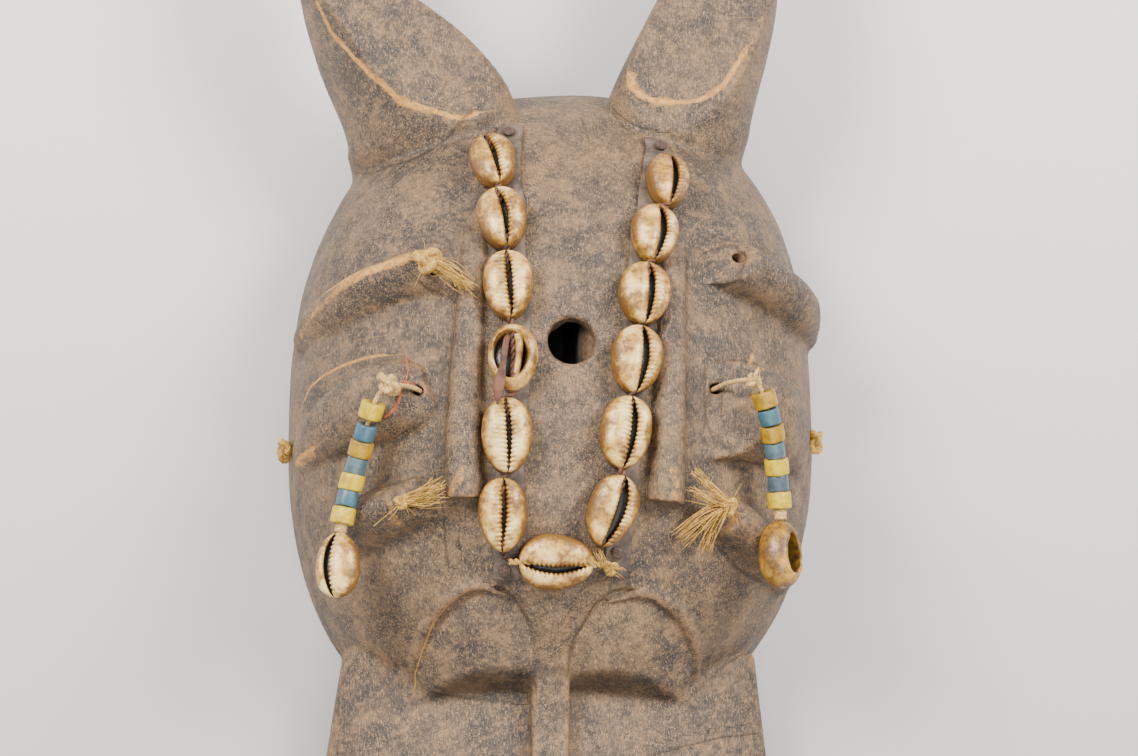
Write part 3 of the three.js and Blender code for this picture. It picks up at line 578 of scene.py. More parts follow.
def bar_distance(
    stops, x, y, z, on_face=True, slant=0.0, lean=(0.0, 0.0), square=2.0, samples=48, end_soft=0.4
):
    """Distance of every cell from the bar, by the section of it that lies nearest"""
    share = np.linspace(0, 1, samples)
    middle = spline([stop["at"] for stop in stops], samples)
    if on_face:
        middle = snap_to_face(middle)
    tangent = unit(np.gradient(middle, axis=0))
    up = face_normal(middle) if on_face else np.tile([0.0, 0.0, 1.0], (samples, 1))
    up = unit(up - tangent * np.sum(up * tangent, axis=1, keepdims=True))
    side = np.cross(up, tangent)
    spacing = np.gradient(line_lengths(middle))
    shape = np.broadcast(x, y, z).shape
    along = np.full(shape, 1e9, dtype=np.float32)
    nearest = np.zeros(shape, dtype=np.int16)
    for k in range(samples):
        dx, dy, dz = x - middle[k, 0], y - middle[k, 1], z - middle[k, 2]
        here = dx * tangent[k, 0] + dy * tangent[k, 1] + dz * tangent[k, 2]
        if slant:
            here = here - slant * (1 - share[k]) * (dx * up[k, 0] + dy * up[k, 1] + dz * up[k, 2])
        nearer = np.abs(here) < np.abs(along)
        along[nearer] = here[nearer]
        nearest[nearer] = k
    place = nearest + along / spacing[nearest]
    beyond = np.maximum(-place, place - (samples - 1)) * float(spacing.mean())
    place = np.clip(place, 0, samples - 1)

    def here_on_bar(values):
        return np.interp(place, np.arange(samples), values).astype(np.float32)

    gap = [axis - here_on_bar(middle[:, k]) for k, axis in enumerate((x, y, z))]
    rise = sum(gap[k] * here_on_bar(up[:, k]) for k in range(3))
    across = sum(gap[k] * here_on_bar(side[:, k]) for k in range(3))
    width, height = (here_on_bar(stop_value(stops, share, key)) for key in ("half_width", "height"))
    across = across - here_on_bar(mix(lean[0], lean[1], share)) * rise / height
    u, v = np.abs(across) / width, np.abs(rise) / height
    reach = np.maximum((u**square + v**square) ** (1 / square), 1e-4)
    fall = reach ** (1 - square) * np.hypot(u ** (square - 1) / width, v ** (square - 1) / height)
    oval = (reach - 1) / np.maximum(fall, 1e-4)
    return overlap(oval, beyond, end_soft)


def bar_window(stops, margin=14.0):
    spots = np.array([stop["at"] for stop in stops], dtype=float)
    widest = max(max(stop["half_width"], stop["height"]) for stop in stops) + margin
    return window(spots.min(axis=0) - widest, spots.max(axis=0) + widest)


# %% [markdown]
# ## The block of the lower face
#
# Under the dome the carver left a heavier block, a little wider than the dome's waist, with a
# bowed front. Its chin is out of the photograph and is finished plainly.

# %% Lower face, nose ridge and mouth
BLOCK = {"top": -76.0, "top_half_width": 63.5, "half_width": 68.5, "widest": -112.0, "chin": -214.0}
BLOCK_FRONT = {"half_width": 76.0, "height": 38.0, "chin_drop": 10.0}
NOSE = {"x": -1.9, "top_half_width": 4.0, "half_width": 5.7, "nostril_half_width": 9.0, "tip": -150.0}
MOUTH = {"y": -178.0, "half_width": 19.0, "half_height": 9.0, "lip": 5.5, "root": 6.0, "slit": 1.6}


def bezier(points, count):
    share = np.linspace(0, 1, count)[:, None]
    points = [np.asarray(p, dtype=float) for p in points]
    while len(points) > 1:
        points = [a + (b - a) * share for a, b in zip(points, points[1:])]
    return points[0]


def block_outline(inset):
    outer = BLOCK["half_width"] - inset
    end = BLOCK["chin"] + inset + 3
    top = BLOCK["top"] + (30 if inset else 0)
    shoulder = (BLOCK["top_half_width"] - inset, top)
    side = bezier([(outer, BLOCK["widest"]), (outer + 2, -152), (46 - inset, -190), (30 - inset, end)], 14)
    chin = bezier([(30 - inset, end), (0, end - 6), (inset - 30, end)], 8)[1:-1]
    right = np.vstack([shoulder, side])
    return np.vstack([right, chin, right[::-1] * (-1, 1)])


def block_front_height(y):
    drop = BLOCK_FRONT["chin_drop"] * smooth_step(-y, 165, 216)
    return BLOCK_FRONT["height"] + 3 - drop


def block_distance(x, y, z, inset):
    plan = outline_distance(block_outline(inset), x, y)
    half_width = BLOCK_FRONT["half_width"] - inset
    height = block_front_height(y) - inset
    reach = np.sqrt((x / half_width) ** 2 + (z / height) ** 2)
    fall = np.sqrt((x / half_width**2) ** 2 + (z / height**2) ** 2)
    front = reach * (reach - 1) / np.maximum(fall, 1e-5)
    return overlap(plan, front, 2.2)


def nose_distance(x, y, z):
    crest = [(-58, 66), (-70, 62.5), (-90, 50), (-112, 46.5), (-134, 52), (NOSE["tip"], 59)]
    crest = spline([(a, b, 0) for a, b in crest], 30)[:, :2]
    profile = np.vstack([(-58, 20), crest, (NOSE["tip"] - 4, 54), (NOSE["tip"] - 2, 20)])
    shank = mix(NOSE["top_half_width"], NOSE["half_width"], smooth_step(-y, 66, 100))
    half_width = mix(shank, NOSE["nostril_half_width"], smooth_step(-y, 132, 148))
    return overlap(outline_distance(profile, y, z), np.abs(x - NOSE["x"]) - half_width, 1.4)


# %% [markdown]
# ## The arched eyes
#
# Under the shell strings two arched eyes are sunk into the dome. Each is a niche with a swelling
# lid inside it, and the lids are cut away underneath by one slanting stroke, which leaves the two
# dark crescents. Each lid reaches a little past its arch, so no slot is left at its inner edge. A
# rounded rim runs up the outside of each arch.

# %% Arched eyes
EYE_ARCHES = {
    "left": {"x": -24.5, "half_width": 18.0, "top": -63.8, "lid_x": -16.0},
    "right": {"x": 22.8, "half_width": 20.0, "top": -64.4, "lid_x": 15.0},
}
ARCH_BASE = -97.0
LID_PAST_ARCH = 0.8
LID_TILT = math.radians(24)
LID_RADII = (34.0, 52.0, 30.0)
LID_SUMMIT = (-76.0, 57.5)
UNDERCUT = {"y": -88.0, "z": 51.0, "tilt": math.radians(-22)}
ARCH_RIMS = (
    [(-42.2, -90, 28), (-40.8, -77, 47), (-35.5, -69, 57), (-26, -64.6, 62.6), (-15, -67.5, 62)],
    [(42.6, -90, 22), (41.4, -77, 45), (35.5, -69.5, 55), (25, -65.8, 61.5), (13, -68.5, 61)],
)
RIM_SIZES = ((2.2, 1.9), (2.2, 1.9), (2.1, 1.7), (1.6, 1.0), (0.8, 0.2))


def turned_back(y, z, tilt):
    return math.cos(tilt) * y + math.sin(tilt) * z, math.cos(tilt) * z - math.sin(tilt) * y


def arch_distance(arch, x, y, z, inset):
    angle = np.linspace(0, math.pi, 33)
    across = np.sign(np.cos(angle)) * np.abs(np.cos(angle)) ** 0.8
    upward = np.abs(np.sin(angle)) ** 0.8
    rise = arch["top"] - inset - ARCH_BASE
    outline = np.column_stack([
        arch["x"] + (arch["half_width"] - inset) * across,
        ARCH_BASE + rise * upward,
    ])
    return np.maximum(outline_distance(outline, x, y), 25.0 - z)


def lid_distance(arch, x, y, z, drop):
    middle_y = LID_SUMMIT[0] + LID_RADII[2] * math.sin(LID_TILT)
    middle_z = LID_SUMMIT[1] - drop - LID_RADII[2] * math.cos(LID_TILT)
    y, z = turned_back(y - middle_y, z - middle_z, LID_TILT)
    return egg_distance(x - arch["lid_x"], y, z, LID_RADII)


def undercut_distance(x, y, z):
    depth, out = turned_back(y - UNDERCUT["y"], z - UNDERCUT["z"], UNDERCUT["tilt"])
    return np.maximum.reduce(np.broadcast_arrays(depth, -60 - depth, np.abs(out) - 30, np.abs(x) - 45))


# %% [markdown]
# ## Stops of the bars, nose tubes and horns
#
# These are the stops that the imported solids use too, so the dressed mask keeps its size and place.

# %% Bars
def stops(*rows):
    return [{"at": row[:3], "half_width": row[3], "height": row[4]} for row in rows]


BARS = {
    "brow_left": {
        "stops": stops(
            (-34.5, 31, 71, 6.8, 8), (-51, 28, 63.6, 6.8, 8), (-65.7, 23.8, 51.7, 6.5, 6.5),
            (-79, 18, 25, 3, 2.5),
        ),
        "slant": 1.45,
        "square": 1.7,
        "lean": -2.5,
    },
    "brow_right": {
        "stops": stops(
            (44, 37, 67, 7.8, 10), (60.1, 32.6, 58.2, 7.6, 10), (73.1, 29.1, 44.1, 6.8, 8.5),
            (83, 26, 22, 4, 3.5),
        ),
        "slant": 1.3,
        "square": 2.2,
        "lean": 1.0,
    },
    "eye_left": {
        "stops": stops(
            (-40, -6.2, 70.6, 6.5, 3.5), (-45, -7.7, 68.4, 11, 8), (-54, -9.5, 64, 12, 9.5),
            (-67, -14, 51.7, 9.5, 7.5), (-78, -20, 29, 4, 2.5),
        ),
        "slant": 0.3,
        "square": 2.4,
        "lean": -2.0,
    },
    "eye_right": {
        "stops": stops(
            (44.5, -10.5, 69, 15.5, 11), (57, -11, 61.5, 14, 10.5), (68, -14.5, 51, 11, 6.5),
            (75, -20, 39, 5, 2),
        ),
        "slant": 1.3,
        "square": 2.6,
        "lean": 2.0,
    },
    "cheek_left": {
        "stops": stops(
            (-39, -38.5, 68, 6.8, 9), (-50, -42, 61.5, 7.8, 9.5), (-58, -44, 54.5, 8.5, 8),
            (-66, -48.5, 45, 7.5, 2.5),
        ),
        "slant": 0.8,
        "square": 1.8,
        "lean": -1.0,
    },
    "cheek_right": {
        "stops": stops(
            (44, -41, 66, 6.5, 9), (56, -45, 57, 7.3, 9), (66, -50, 43, 7, 7.5), (72, -54, 28, 5, 2.5),
        ),
        "slant": 0.8,
        "square": 2.0,
        "lean": 0.0,
    },
}
TUBES = {
    "left": stops(
        (-27, 44, 71, 3.5, 2), (-28.9, 12, 73.4, 4.6, 4), (-30, -16, 73, 5.3, 6), (-29.8, -40, 70.4, 6.1, 8.5)
    ),
    "right": stops(
        (33.8, 46, 69, 3.5, 2), (32.2, 13, 73, 4.4, 4), (31, -15, 73, 5.1, 6), (29.6, -40, 70.4, 6, 8.5)
    ),
}
HORNS = {
    "left": {
        "stops": stops(
            (-31, 64, 19, 22.5, 20), (-40.4, 90, 38, 23.2, 20.8), (-60.6, 118, 42, 14.2, 24.5),
            (-69, 136, 44, 12.6, 26), (-76, 172, 48, 11.5, 19), (-69, 204, 53, 4, 7),
        ),
        "lean": (-16.0, 6.0),
    },
    "right": {
        "stops": stops(
            (35, 66, 19, 22, 20), (39.5, 93, 38, 22.6, 21), (53.8, 136, 44, 17.6, 28),
            (57, 172, 48, 13, 19),
            (49, 204, 53, 4, 7),
        ),
        "lean": (8.0, -2.0),
    },
}
HORN_FACE = 56.0

# %% [markdown]
# ## Holes
#
# The forehead hole goes right through, and smaller ones were burnt through the bars for the
# pendants and tufts. Each runs along the dome's normal at its foot.

# %% Holes and nostrils
FOREHEAD_HOLE = {"at": (1.8, 8.4, 76.0), "radius": 7.0}
SMALL_HOLE_RADIUS = 1.7
SMALL_HOLES = {
    "brow_left": (-38.9, 30.3, 69),
    "brow_right": (51, 37, 63.5),
    "eye_left": (-42.8, -7.5, 69.3),
    "eye_right": (46, -3.8, 68.4),
    "cheek_left": (-43.5, -40.3, 66),
    "cheek_right": (46.8, -40, 64),
    "side_left": (-80.6, -12.6, 17),
    "side_right": (79.8, -10.1, 32.8),
}
NOSTRIL_RADII = (2.8, 5.0, 1.3)
NOSTRIL_LIFT = 5.2


def hole_distance(at, radius, x, y, z):
    foot = snap_to_face(np.array(at, dtype=float))
    up = face_normal(foot)
    dx, dy, dz = x - foot[0], y - foot[1], z - foot[2]
    depth = dx * up[0] + dy * up[1] + dz * up[2]
    away = np.sqrt(np.maximum(dx**2 + dy**2 + dz**2 - depth**2, 0))
    return np.maximum(away - radius, np.abs(depth) - 30)


# %% [markdown]
# ## Carve the mask
#
# The order is the carver's: rough out the dome and the block, sink the eyes, leave the bars and
# horns proud, hollow the back, and drill last. Each window is the box of cells that a tool can
# reach, and the last number of each change is how softly the two shapes meet, in mm.

# %% Carve
BLOCK_REACH = ((-92, -213, -3), (91, -60, 60))
BLOCK_HOLLOW_REACH = ((-92, -213, -3), (91, -30, 60))
NICHE_DEPTH = 3.5


def carve():
    whole_grid = window(GRID_LOW, GRID_HIGH)[1]
    x, y, z = whole_grid
    half_width, half_length = face_span(x, y)
    total = np.abs(x / half_width) ** FACE_FULLNESS + np.abs(y / half_length) ** FACE_FULLNESS
    total = total.astype(np.float32) + (np.abs(z) / FACE_HEIGHT) ** FACE_FULLNESS
    length = np.sqrt(x**2 + y**2 + z**2)
    from_dome = length * (1 - np.maximum(total, 1e-6) ** (-1 / FACE_FULLNESS))
    from_dome = from_dome.astype(np.float32)
    wood = from_dome.copy()

    def change(cells, tool, how, soft):
        wood[cells] = how(wood[cells], tool, soft)

    for arch in EYE_ARCHES.values():
        cells, place = window((arch["x"] - 32, -112, 15), (arch["x"] + 32, -50, 80))
        niche = np.maximum(arch_distance(arch, *place, 0.0), -lid_distance(arch, *place, NICHE_DEPTH))
        lid = overlap(arch_distance(arch, *place, -LID_PAST_ARCH), lid_distance(arch, *place, 0.0), 2.5)
        change(cells, niche, cut, 0.8)
        change(cells, lid, join, 0.6)
    cells, place = window((-50, -150, 10), (50, -70, 80))
    change(cells, undercut_distance(*place), cut, 0.8)
    cells, place = window(*BLOCK_REACH)
    change(cells, block_distance(*place, 0.0), join, 1.2)
    cells, place = window((-20, -170, 10), (16, -46, 80))
    change(cells, nose_distance(*place), join, 1.6)
    for route in ARCH_RIMS:
        rim = [{"at": at, "half_width": wide, "height": high} for at, (wide, high) in zip(route, RIM_SIZES)]
        cells, place = bar_window(rim, 8)
        change(cells, bar_distance(rim, *place), join, 0.9)
    for bar in BARS.values():
        cells, place = bar_window(bar["stops"])
        lean = (bar["lean"], bar["lean"])
        shape = bar_distance(bar["stops"], *place, slant=bar["slant"], lean=lean, square=bar["square"])
        change(cells, shape, join, 1.1)
    for route in TUBES.values():
        cells, place = bar_window(route)
        change(cells, bar_distance(route, *place, samples=80, square=2.3, end_soft=0.5), join, 1.2)
        at = np.array(route[-1]["at"])
        x, y, z = (axis - end for axis, end in zip(place, at))
        pocket = egg_distance(x - np.sign(at[0]), y, z - NOSTRIL_LIFT, NOSTRIL_RADII)
        change(cells, pocket, cut, 0.6)
    for horn in HORNS.values():
        cells, place = bar_window(horn["stops"])
        looks = {"lean": horn["lean"], "samples": 90, "square": 2.05}
        shape = bar_distance(horn["stops"], *place, on_face=False, **looks)
        change(cells, overlap(shape, place[2] - HORN_FACE, 0.5), join, 1.5)
    cells, (x, y, z) = window((-30, -200, 10), (30, -160, 60))
    front = block_front_height(MOUTH["y"])
    radii = (MOUTH["half_width"], MOUTH["half_height"], MOUTH["lip"] + MOUTH["root"])
    lips = egg_distance(x, y - MOUTH["y"], z - front + MOUTH["root"], radii)
    change(cells, lips, join, 1.5)
    slit = np.maximum(np.abs(y - MOUTH["y"]) - MOUTH["slit"] / 2, np.abs(x) - 0.8 * MOUTH["half_width"])
    change(cells, np.maximum(slit, front + 1.5 - z), cut, 0.6)

    cells, place = window(*BLOCK_HOLLOW_REACH)
    hollow = from_dome + WALL
    hollow[cells] = join(hollow[cells], block_distance(*place, WALL), 3.0)
    wood = cut(wood, hollow, 1.5)
    wood = np.maximum(wood, -whole_grid[2])
    cells, place = window((-20, -14, 30), (24, 30, 84))
    forehead = hole_distance(FOREHEAD_HOLE["at"], FOREHEAD_HOLE["radius"], *place)
    wood[cells] = cut(wood[cells], forehead, 1.6)
    for at in SMALL_HOLES.values():
        cells, place = window(np.array(at) - 26, np.array(at) + 26)
        wood[cells] = cut(wood[cells], hole_distance(at, SMALL_HOLE_RADIUS, *place), 0.7)
    return wood


wood_field = carve()
print("Wood fills", round(float((wood_field < 0).sum()) * STEP**3 / 1000), "cm3 of the grid")

# %% [markdown]
# ## From field to skin
#
# OpenVDB draws four-sided faces through the cells where the distance is nought. Slow waves and
# short shallow dents are then pressed into the points, as an adze leaves them, so the surface is
# never quite true. Collapsing the flattest faces brings the mesh down to a sensible weight, most of
# all in the hollow and on the flat rim where wood stands over it, which face the table.


# %% Draw and dent the skin
def field_at(field, points):
    """Reads a field between its cells"""
    place = (points - GRID_LOW) / STEP
    first = np.clip(place.astype(int), 0, GRID_COUNT - 2)
    share = np.clip(place - first, 0, 1)
    total = np.zeros(len(points))
    for corner in np.ndindex(2, 2, 2):
        weight = np.prod(np.where(corner, share, 1 - share), axis=1)
        total += weight * field[tuple((first + corner).T)]
    return total


def spread(field, reach):
    """A field blurred by a box of reach mm each way"""
    cells = max(int(round(reach / STEP)), 1)
    size = 2 * cells + 1
    for axis in range(3):
        ends = [(cells + 1, cells) if k == axis else (0, 0) for k in range(3)]
        running = np.cumsum(np.pad(field, ends, mode="edge"), axis=axis, dtype=np.float64)
        upper = np.take(running, range(size, running.shape[axis]), axis=axis)
        lower = np.take(running, range(0, running.shape[axis] - size), axis=axis)
        field = ((upper - lower) / size).astype(np.float32)
    return field


def dents(point):
    """How far the tools left the wood above or below its true surface, in mm"""
    slow = noise.noise(Vector(point) / 26.0)
    chip = noise.noise(Vector((point[0] / 8.0, point[1] / 14.0, point[2] / 8.0)))
    return 0.45 * slow + 0.22 * chip


def share_of_dome(points):
    """How far out the points lie: 1 on the dome, 0 in the middle of the rim"""
    return np.linalg.norm(points / (FACE_HALF_WIDTH["left"], 104, FACE_HEIGHT), axis=1)


MOST_TRIANGLES = 190000
FIELD_BAND = 3.0
HOLLOW_SHARE = 0.93
RIM_PROBE = 2.4
RIM_COVER = 1.6


def draw_skin():
    grid = openvdb.FloatGrid()
    grid.background = FIELD_BAND
    grid.copyFromArray(np.ascontiguousarray(np.clip(wood_field, -FIELD_BAND, FIELD_BAND)))
    points, quads = grid.convertToQuads(0.0)
    points = points * STEP + GRID_LOW
    mesh = bpy.data.meshes.new("wood draft")
    mesh.from_pydata(points.tolist(), [], quads[:, ::-1].tolist())
    mesh.update()
    normals = np.zeros(len(points) * 3)
    mesh.vertices.foreach_get("normal", normals)
    normals = normals.reshape(-1, 3)
    push = np.array([dents(point) for point in points]) * smooth_step(points[:, 2], 0.4, 4.0)
    points = points + normals * push[:, None]
    points[:, 2] = np.where(points[:, 2] < 0.8, 0.0, points[:, 2])
    mesh.vertices.foreach_set("co", points.ravel())
    mesh.update()
    draft = new_object("wood draft", mesh)
    front = draft.vertex_groups.new(name="front")
    behind = share_of_dome(points) < HOLLOW_SHARE
    below_wood = field_at(wood_field, points + np.array([0, 0, RIM_PROBE])) < -RIM_COVER
    behind |= (points[:, 2] < 1.0) & below_wood
    front.add(np.flatnonzero(~behind).tolist(), 0.0, "REPLACE")
    front.add(np.flatnonzero(behind).tolist(), 1.0, "REPLACE")
    fewer = draft.modifiers.new("fewer", "DECIMATE")
    fewer.vertex_group = "front"
    fewer.vertex_group_factor = 4.0
    fewer.ratio = min(1.0, MOST_TRIANGLES / (2 * len(quads)))
    shown = draft.evaluated_get(bpy.context.evaluated_depsgraph_get())
    result = bpy.data.meshes.new_from_object(shown)
    bpy.data.objects.remove(draft)
    points = np.zeros(len(result.vertices) * 3)
    result.vertices.foreach_get("co", points)
    faces = [list(face.vertices) for face in result.polygons]
    return points.reshape(-1, 3), faces


skin = draw_skin()
print("The skin has", len(skin[0]), "points and", len(skin[1]), "faces")

# %% [markdown]
# ## Where hands and time have touched it, and where shade is painted
#
# Edges that are handled lose their dark surface first and show the orange-brown wood below. Every
# point of the skin gets a few values: how far it stands proud of its surroundings and how deep it
# sits in a corner, both from how much wood lies within a few millimetres, and how near it is to a
# stretch that is plainly rubbed on the real mask. How deep a point sits sets a painted shade in the
# corners, and the cut under the lids is painted dark as shade.
#
# The knife's scored lines and cracks, the dark lines painted as shade along creases that the mesh
# rounds off, and the bare lines along crests are thinner than the mesh is fine. So each point stores
# how far it lies to one side of the nearest line. The sign changes where the line runs, and the
# finish draws the line where the value passes nought, however wide the faces.

# %% Wear, painted shade and rubbed stretches
# Each stretch: how bare it is, how far that reaches in mm, and places along it
RUBBED = (
    (0.74, 3.1, [(-78.4, 19.9, 34.3), (-73.9, 23.4, 48), (-67.5, 27.3, 59.2), (-61.7, 29.6, 65.6),
                 (-55.8, 31.4, 69.5), (-49.9, 33.7, 71.9), (-45.5, 34.5, 73.8)]),
    (0.6, 2.2, [(-49.3, 32.3, 73.1), (-35.8, 23.4, 70.7)]),
    (0.6, 3.4, [(56.7, 35.8, 71.4), (56.3, 39.9, 70.6), (56, 29.7, 67.4)]),
    (0.45, 2.5, [(56.7, 35.8, 71.4), (65.4, 30.7, 64.7), (74.8, 26.5, 53), (81.5, 25, 38.8)]),
    (0.52, 2.0, [(-76.5, -11.1, 42.7), (-72.4, -2, 47), (-63.9, 1.1, 57), (-56.9, 3.4, 63),
                 (-48.4, 4.3, 68)]),
    (0.74, 2.8, [(-78.3, -21.3, 32.9), (-74, -21, 46)]),
    (0.74, 2.5, [(58.4, 8.7, 61), (59.2, -1.5, 71.5), (60.4, -11.2, 72.8), (61.2, -19.4, 68.6)]),
    (0.38, 2.2, [(43, -12.2, 69.2), (45.8, -18.5, 70), (53.4, -23.4, 67.7), (63.7, -23.3, 59.7)]),
    (0.67, 2.8, [(-53.7, -34.4, 60.3), (-52, -42.5, 71.2), (-49.4, -47.1, 67.8)]),
    (0.67, 3.1, [(54.2, -36.1, 62), (51.3, -44.5, 69.4), (49.3, -47.5, 68.8)]),
    (0.38, 2.2, [(42.9, -50.7, 62), (54.9, -55.6, 51.6), (66.8, -57.2, 41.4)]),
    (0.67, 3.4, [(-33.9, -39.4, 76.3), (-32.2, -36.1, 78), (-30.8, -33.2, 78.5)]),
    (0.67, 3.1, [(31.5, -31.8, 78.5), (32.6, -36.1, 77.5), (32, -39.9, 77.7)]),
    (0.52, 1.9, [(-42.2, -90.4, 33.5), (-39.8, -80.6, 46), (-36, -72.3, 57), (-26.7, -64.6, 64)]),
    (0.38, 1.9, [(68, -112, 6), (60, -84, 20), (54.4, -81.6, 27.8)]),
    (0.52, 2.5, [(-6, -150, 59), (4, -150, 59)]),
)
# Scratches and cracks, and dark lines painted as shade along creases: the horn roots, the outlines of the
# arches and bars, and where the dome meets the block
# Each line: half its width in mm, and places along it
SCORED_AND_CREASE_SHADE = (
    (0.55, [(-58.9, 74.8, 31.5), (-57.2, 71.2, 37.5), (-52.1, 71.8, 42.8), (-47.1, 72, 48.5),
            (-40.1, 74.4, 51.6), (-36.4, 78.6, 51.1), (-33.1, 82.6, 53.2), (-28, 86.8, 55.8)]),
    (0.5, [(19.6, 91.7, 49.1), (21.8, 87.5, 51.7), (25.4, 84.9, 52.9), (29.7, 83.6, 54)]),
    (0.4, [(-44.1, 40.2, 64.6), (-42.1, 41, 65.4), (-39.4, 41, 66.8), (-36.4, 39.7, 68.1),
           (-34.3, 37.5, 69.1), (-33.1, 34.4, 69.9)]),
    (0.4, [(-45.1, 27.3, 73.4), (-42.6, 25.7, 71.8), (-40.1, 24.5, 70.8), (-36.4, 23.1, 70.6),
           (-35.2, 22, 71.2)]),
    (0.35, [(-35.2, 22, 71.2), (-34.4, 24.7, 71.7), (-33.8, 26.4, 71.2)]),
    (0.5, [(46.4, 40.8, 66.8), (50.3, 41.9, 67.6), (52.9, 41.4, 68.4), (55, 39.6, 69.2),
           (55.4, 36.1, 70.3), (54.3, 32.7, 70.9), (52, 30.5, 69.5), (49.4, 29.8, 68.6),
           (46.3, 29.6, 68.7)]),
    (0.45, [(42.4, 1.7, 69.8), (42.1, -3, 70), (42.4, -7.7, 69.8), (42.3, -13.8, 69.4),
            (45.9, -20, 69.5), (53, -24.5, 66), (59.2, -24.4, 61.1)]),
    (0.5, [(46.7, -50.5, 60.2), (53.1, -55.6, 53), (58.8, -57.4, 47.6), (65.7, -57.1, 37.8)]),
    (0.5, [(42.8, -90.5, 33.3), (48.3, -85.2, 31.6), (53.4, -80.1, 28.5), (56.8, -77.8, 26.3)]),
    (0.5, [(-37.9, -92.6, 39.5), (-30.3, -93.2, 38.1), (-22.8, -94.1, 38.8), (-13.8, -95.7, 39.7)]),
    (0.5, [(-19.8, -65.4, 63.5), (-13.6, -68.3, 60.4), (-9.2, -74.1, 58.1), (-7.2, -82.2, 51.4),
           (-6.7, -91.5, 49.5)]),
    (0.5, [(3, -86.1, 51.9), (4.2, -77.3, 55.3), (10.3, -68.6, 61.4), (19.7, -64.9, 60.4)]),
    (0.25, [(29.9, -110.2, 37.3), (40.7, -106.7, 34), (51.4, -103.4, 29.8), (65, -100.4, 21)]),
    (0.3, [(7.2, 85.9, 53.1), (7.9, 81.9, 55.9), (8.5, 77.6, 59)]),
    (0.3, [(17.5, 90.9, 47.4), (18.6, 87, 51.8), (20, 83.7, 53.8)]),
    (0.35, [(-37.9, -34.5, 68.4), (-35.4, -45.7, 67), (-34.5, -56.5, 63.3)]),
)
BARE_LINES = (
    (1.0, [(-75.7, 123.6, 51.7), (-73.4, 119.3, 51), (-70.8, 114, 50.1), (-67, 108.7, 52.1),
           (-62.9, 103.8, 53.2), (-59.1, 99.3, 54), (-55.1, 96.2, 54.6), (-49.1, 90.8, 53.8),
           (-45.4, 89.1, 54.3), (-41.3, 87.7, 54.8)]),
    (0.75, [(-41.3, 87.7, 54.8), (-37.2, 86.7, 54.4), (-33.5, 85.6, 54.1), (-30.4, 85.3, 54.2),
            (-26, 86.7, 54.3)]),
    (1.3, [(22.5, 101.2, 54.4), (23.3, 96.2, 55.4), (26.4, 93.7, 56), (30.2, 92.5, 56),
           (35.2, 92.3, 56)]),
    (0.7, [(35.2, 92.3, 56), (39.6, 92.5, 56), (44, 93.3, 56)]),
    (0.95, [(44, 93.3, 56), (47.8, 95.7, 56), (51.7, 98.8, 56), (58.8, 110.4, 56)]),
    (1.5, [(-72.7, 28.5, 48.3), (-69.8, 29.2, 54.8), (-66.1, 29.8, 60.3), (-61.7, 30.7, 65.1),
           (-57, 31.4, 69.4), (-52.3, 31.9, 72.2), (-48.5, 33, 74.3)]),
    (0.5, [(-76.8, -0.6, 33.1), (-75.1, 2.1, 37.4), (-72.2, 3.7, 43.6), (-68.4, 4.8, 49),
           (-64, 5.5, 54.9), (-58.7, 6, 59.2), (-53.7, 5.9, 63.4)]),
    (0.8, [(-79.5, -20.6, 30.2), (-76.6, -19.7, 39.5), (-73.7, -19.4, 48.3)]),
    (0.6, [(58.4, 8.7, 61), (59.2, -1.5, 71.5), (60.4, -11.2, 72.8)]),
    (0.22, [(-42.2, -91, 33.5), (-41.9, -85.7, 37.9), (-40.8, -80.9, 45.2), (-38.2, -74.8, 52.9),
            (-34.6, -70.5, 57.5)]),
)


FAR_FROM_LINES = 12.0
LINE_DEPTH = 2.5


def across_lines(points, lines):
    """How far each point is to one side of the nearest of the lines, in half widths of that line"""
    slope = [
        field_at(wood_field, points + step) - field_at(wood_field, points - step) for step in np.eye(3)
    ]
    normals = unit(np.stack(slope, axis=1))
    nearest = np.full(len(points), FAR_FROM_LINES)
    for half_width, line in lines:
        for start, end in zip(np.array(line[:-1]), np.array(line[1:])):
            run = unit(end - start)
            offset = points - start
            side = (offset * unit(np.cross(run, normals))).sum(axis=1)
            share = offset @ run
            past = np.maximum(np.maximum(-share, share - np.linalg.norm(end - start)), 0)
            above = np.maximum(np.abs((offset * normals).sum(axis=1)) - LINE_DEPTH, 0)
            whole = np.copysign(np.sqrt(side**2 + past**2 + above**2), side) / half_width
            nearest = np.where(np.abs(whole) < np.abs(nearest), whole, nearest)
    return nearest


def line_distance(points, line):
    closest = np.full(len(points), 1e9)
    for start, end in zip(np.array(line[:-1]), np.array(line[1:])):
        run = end - start
        share = np.clip((points - start) @ run / (run @ run), 0, 1)
        closest = np.minimum(closest, np.linalg.norm(points - start - share[:, None] * run, axis=1))
    return closest


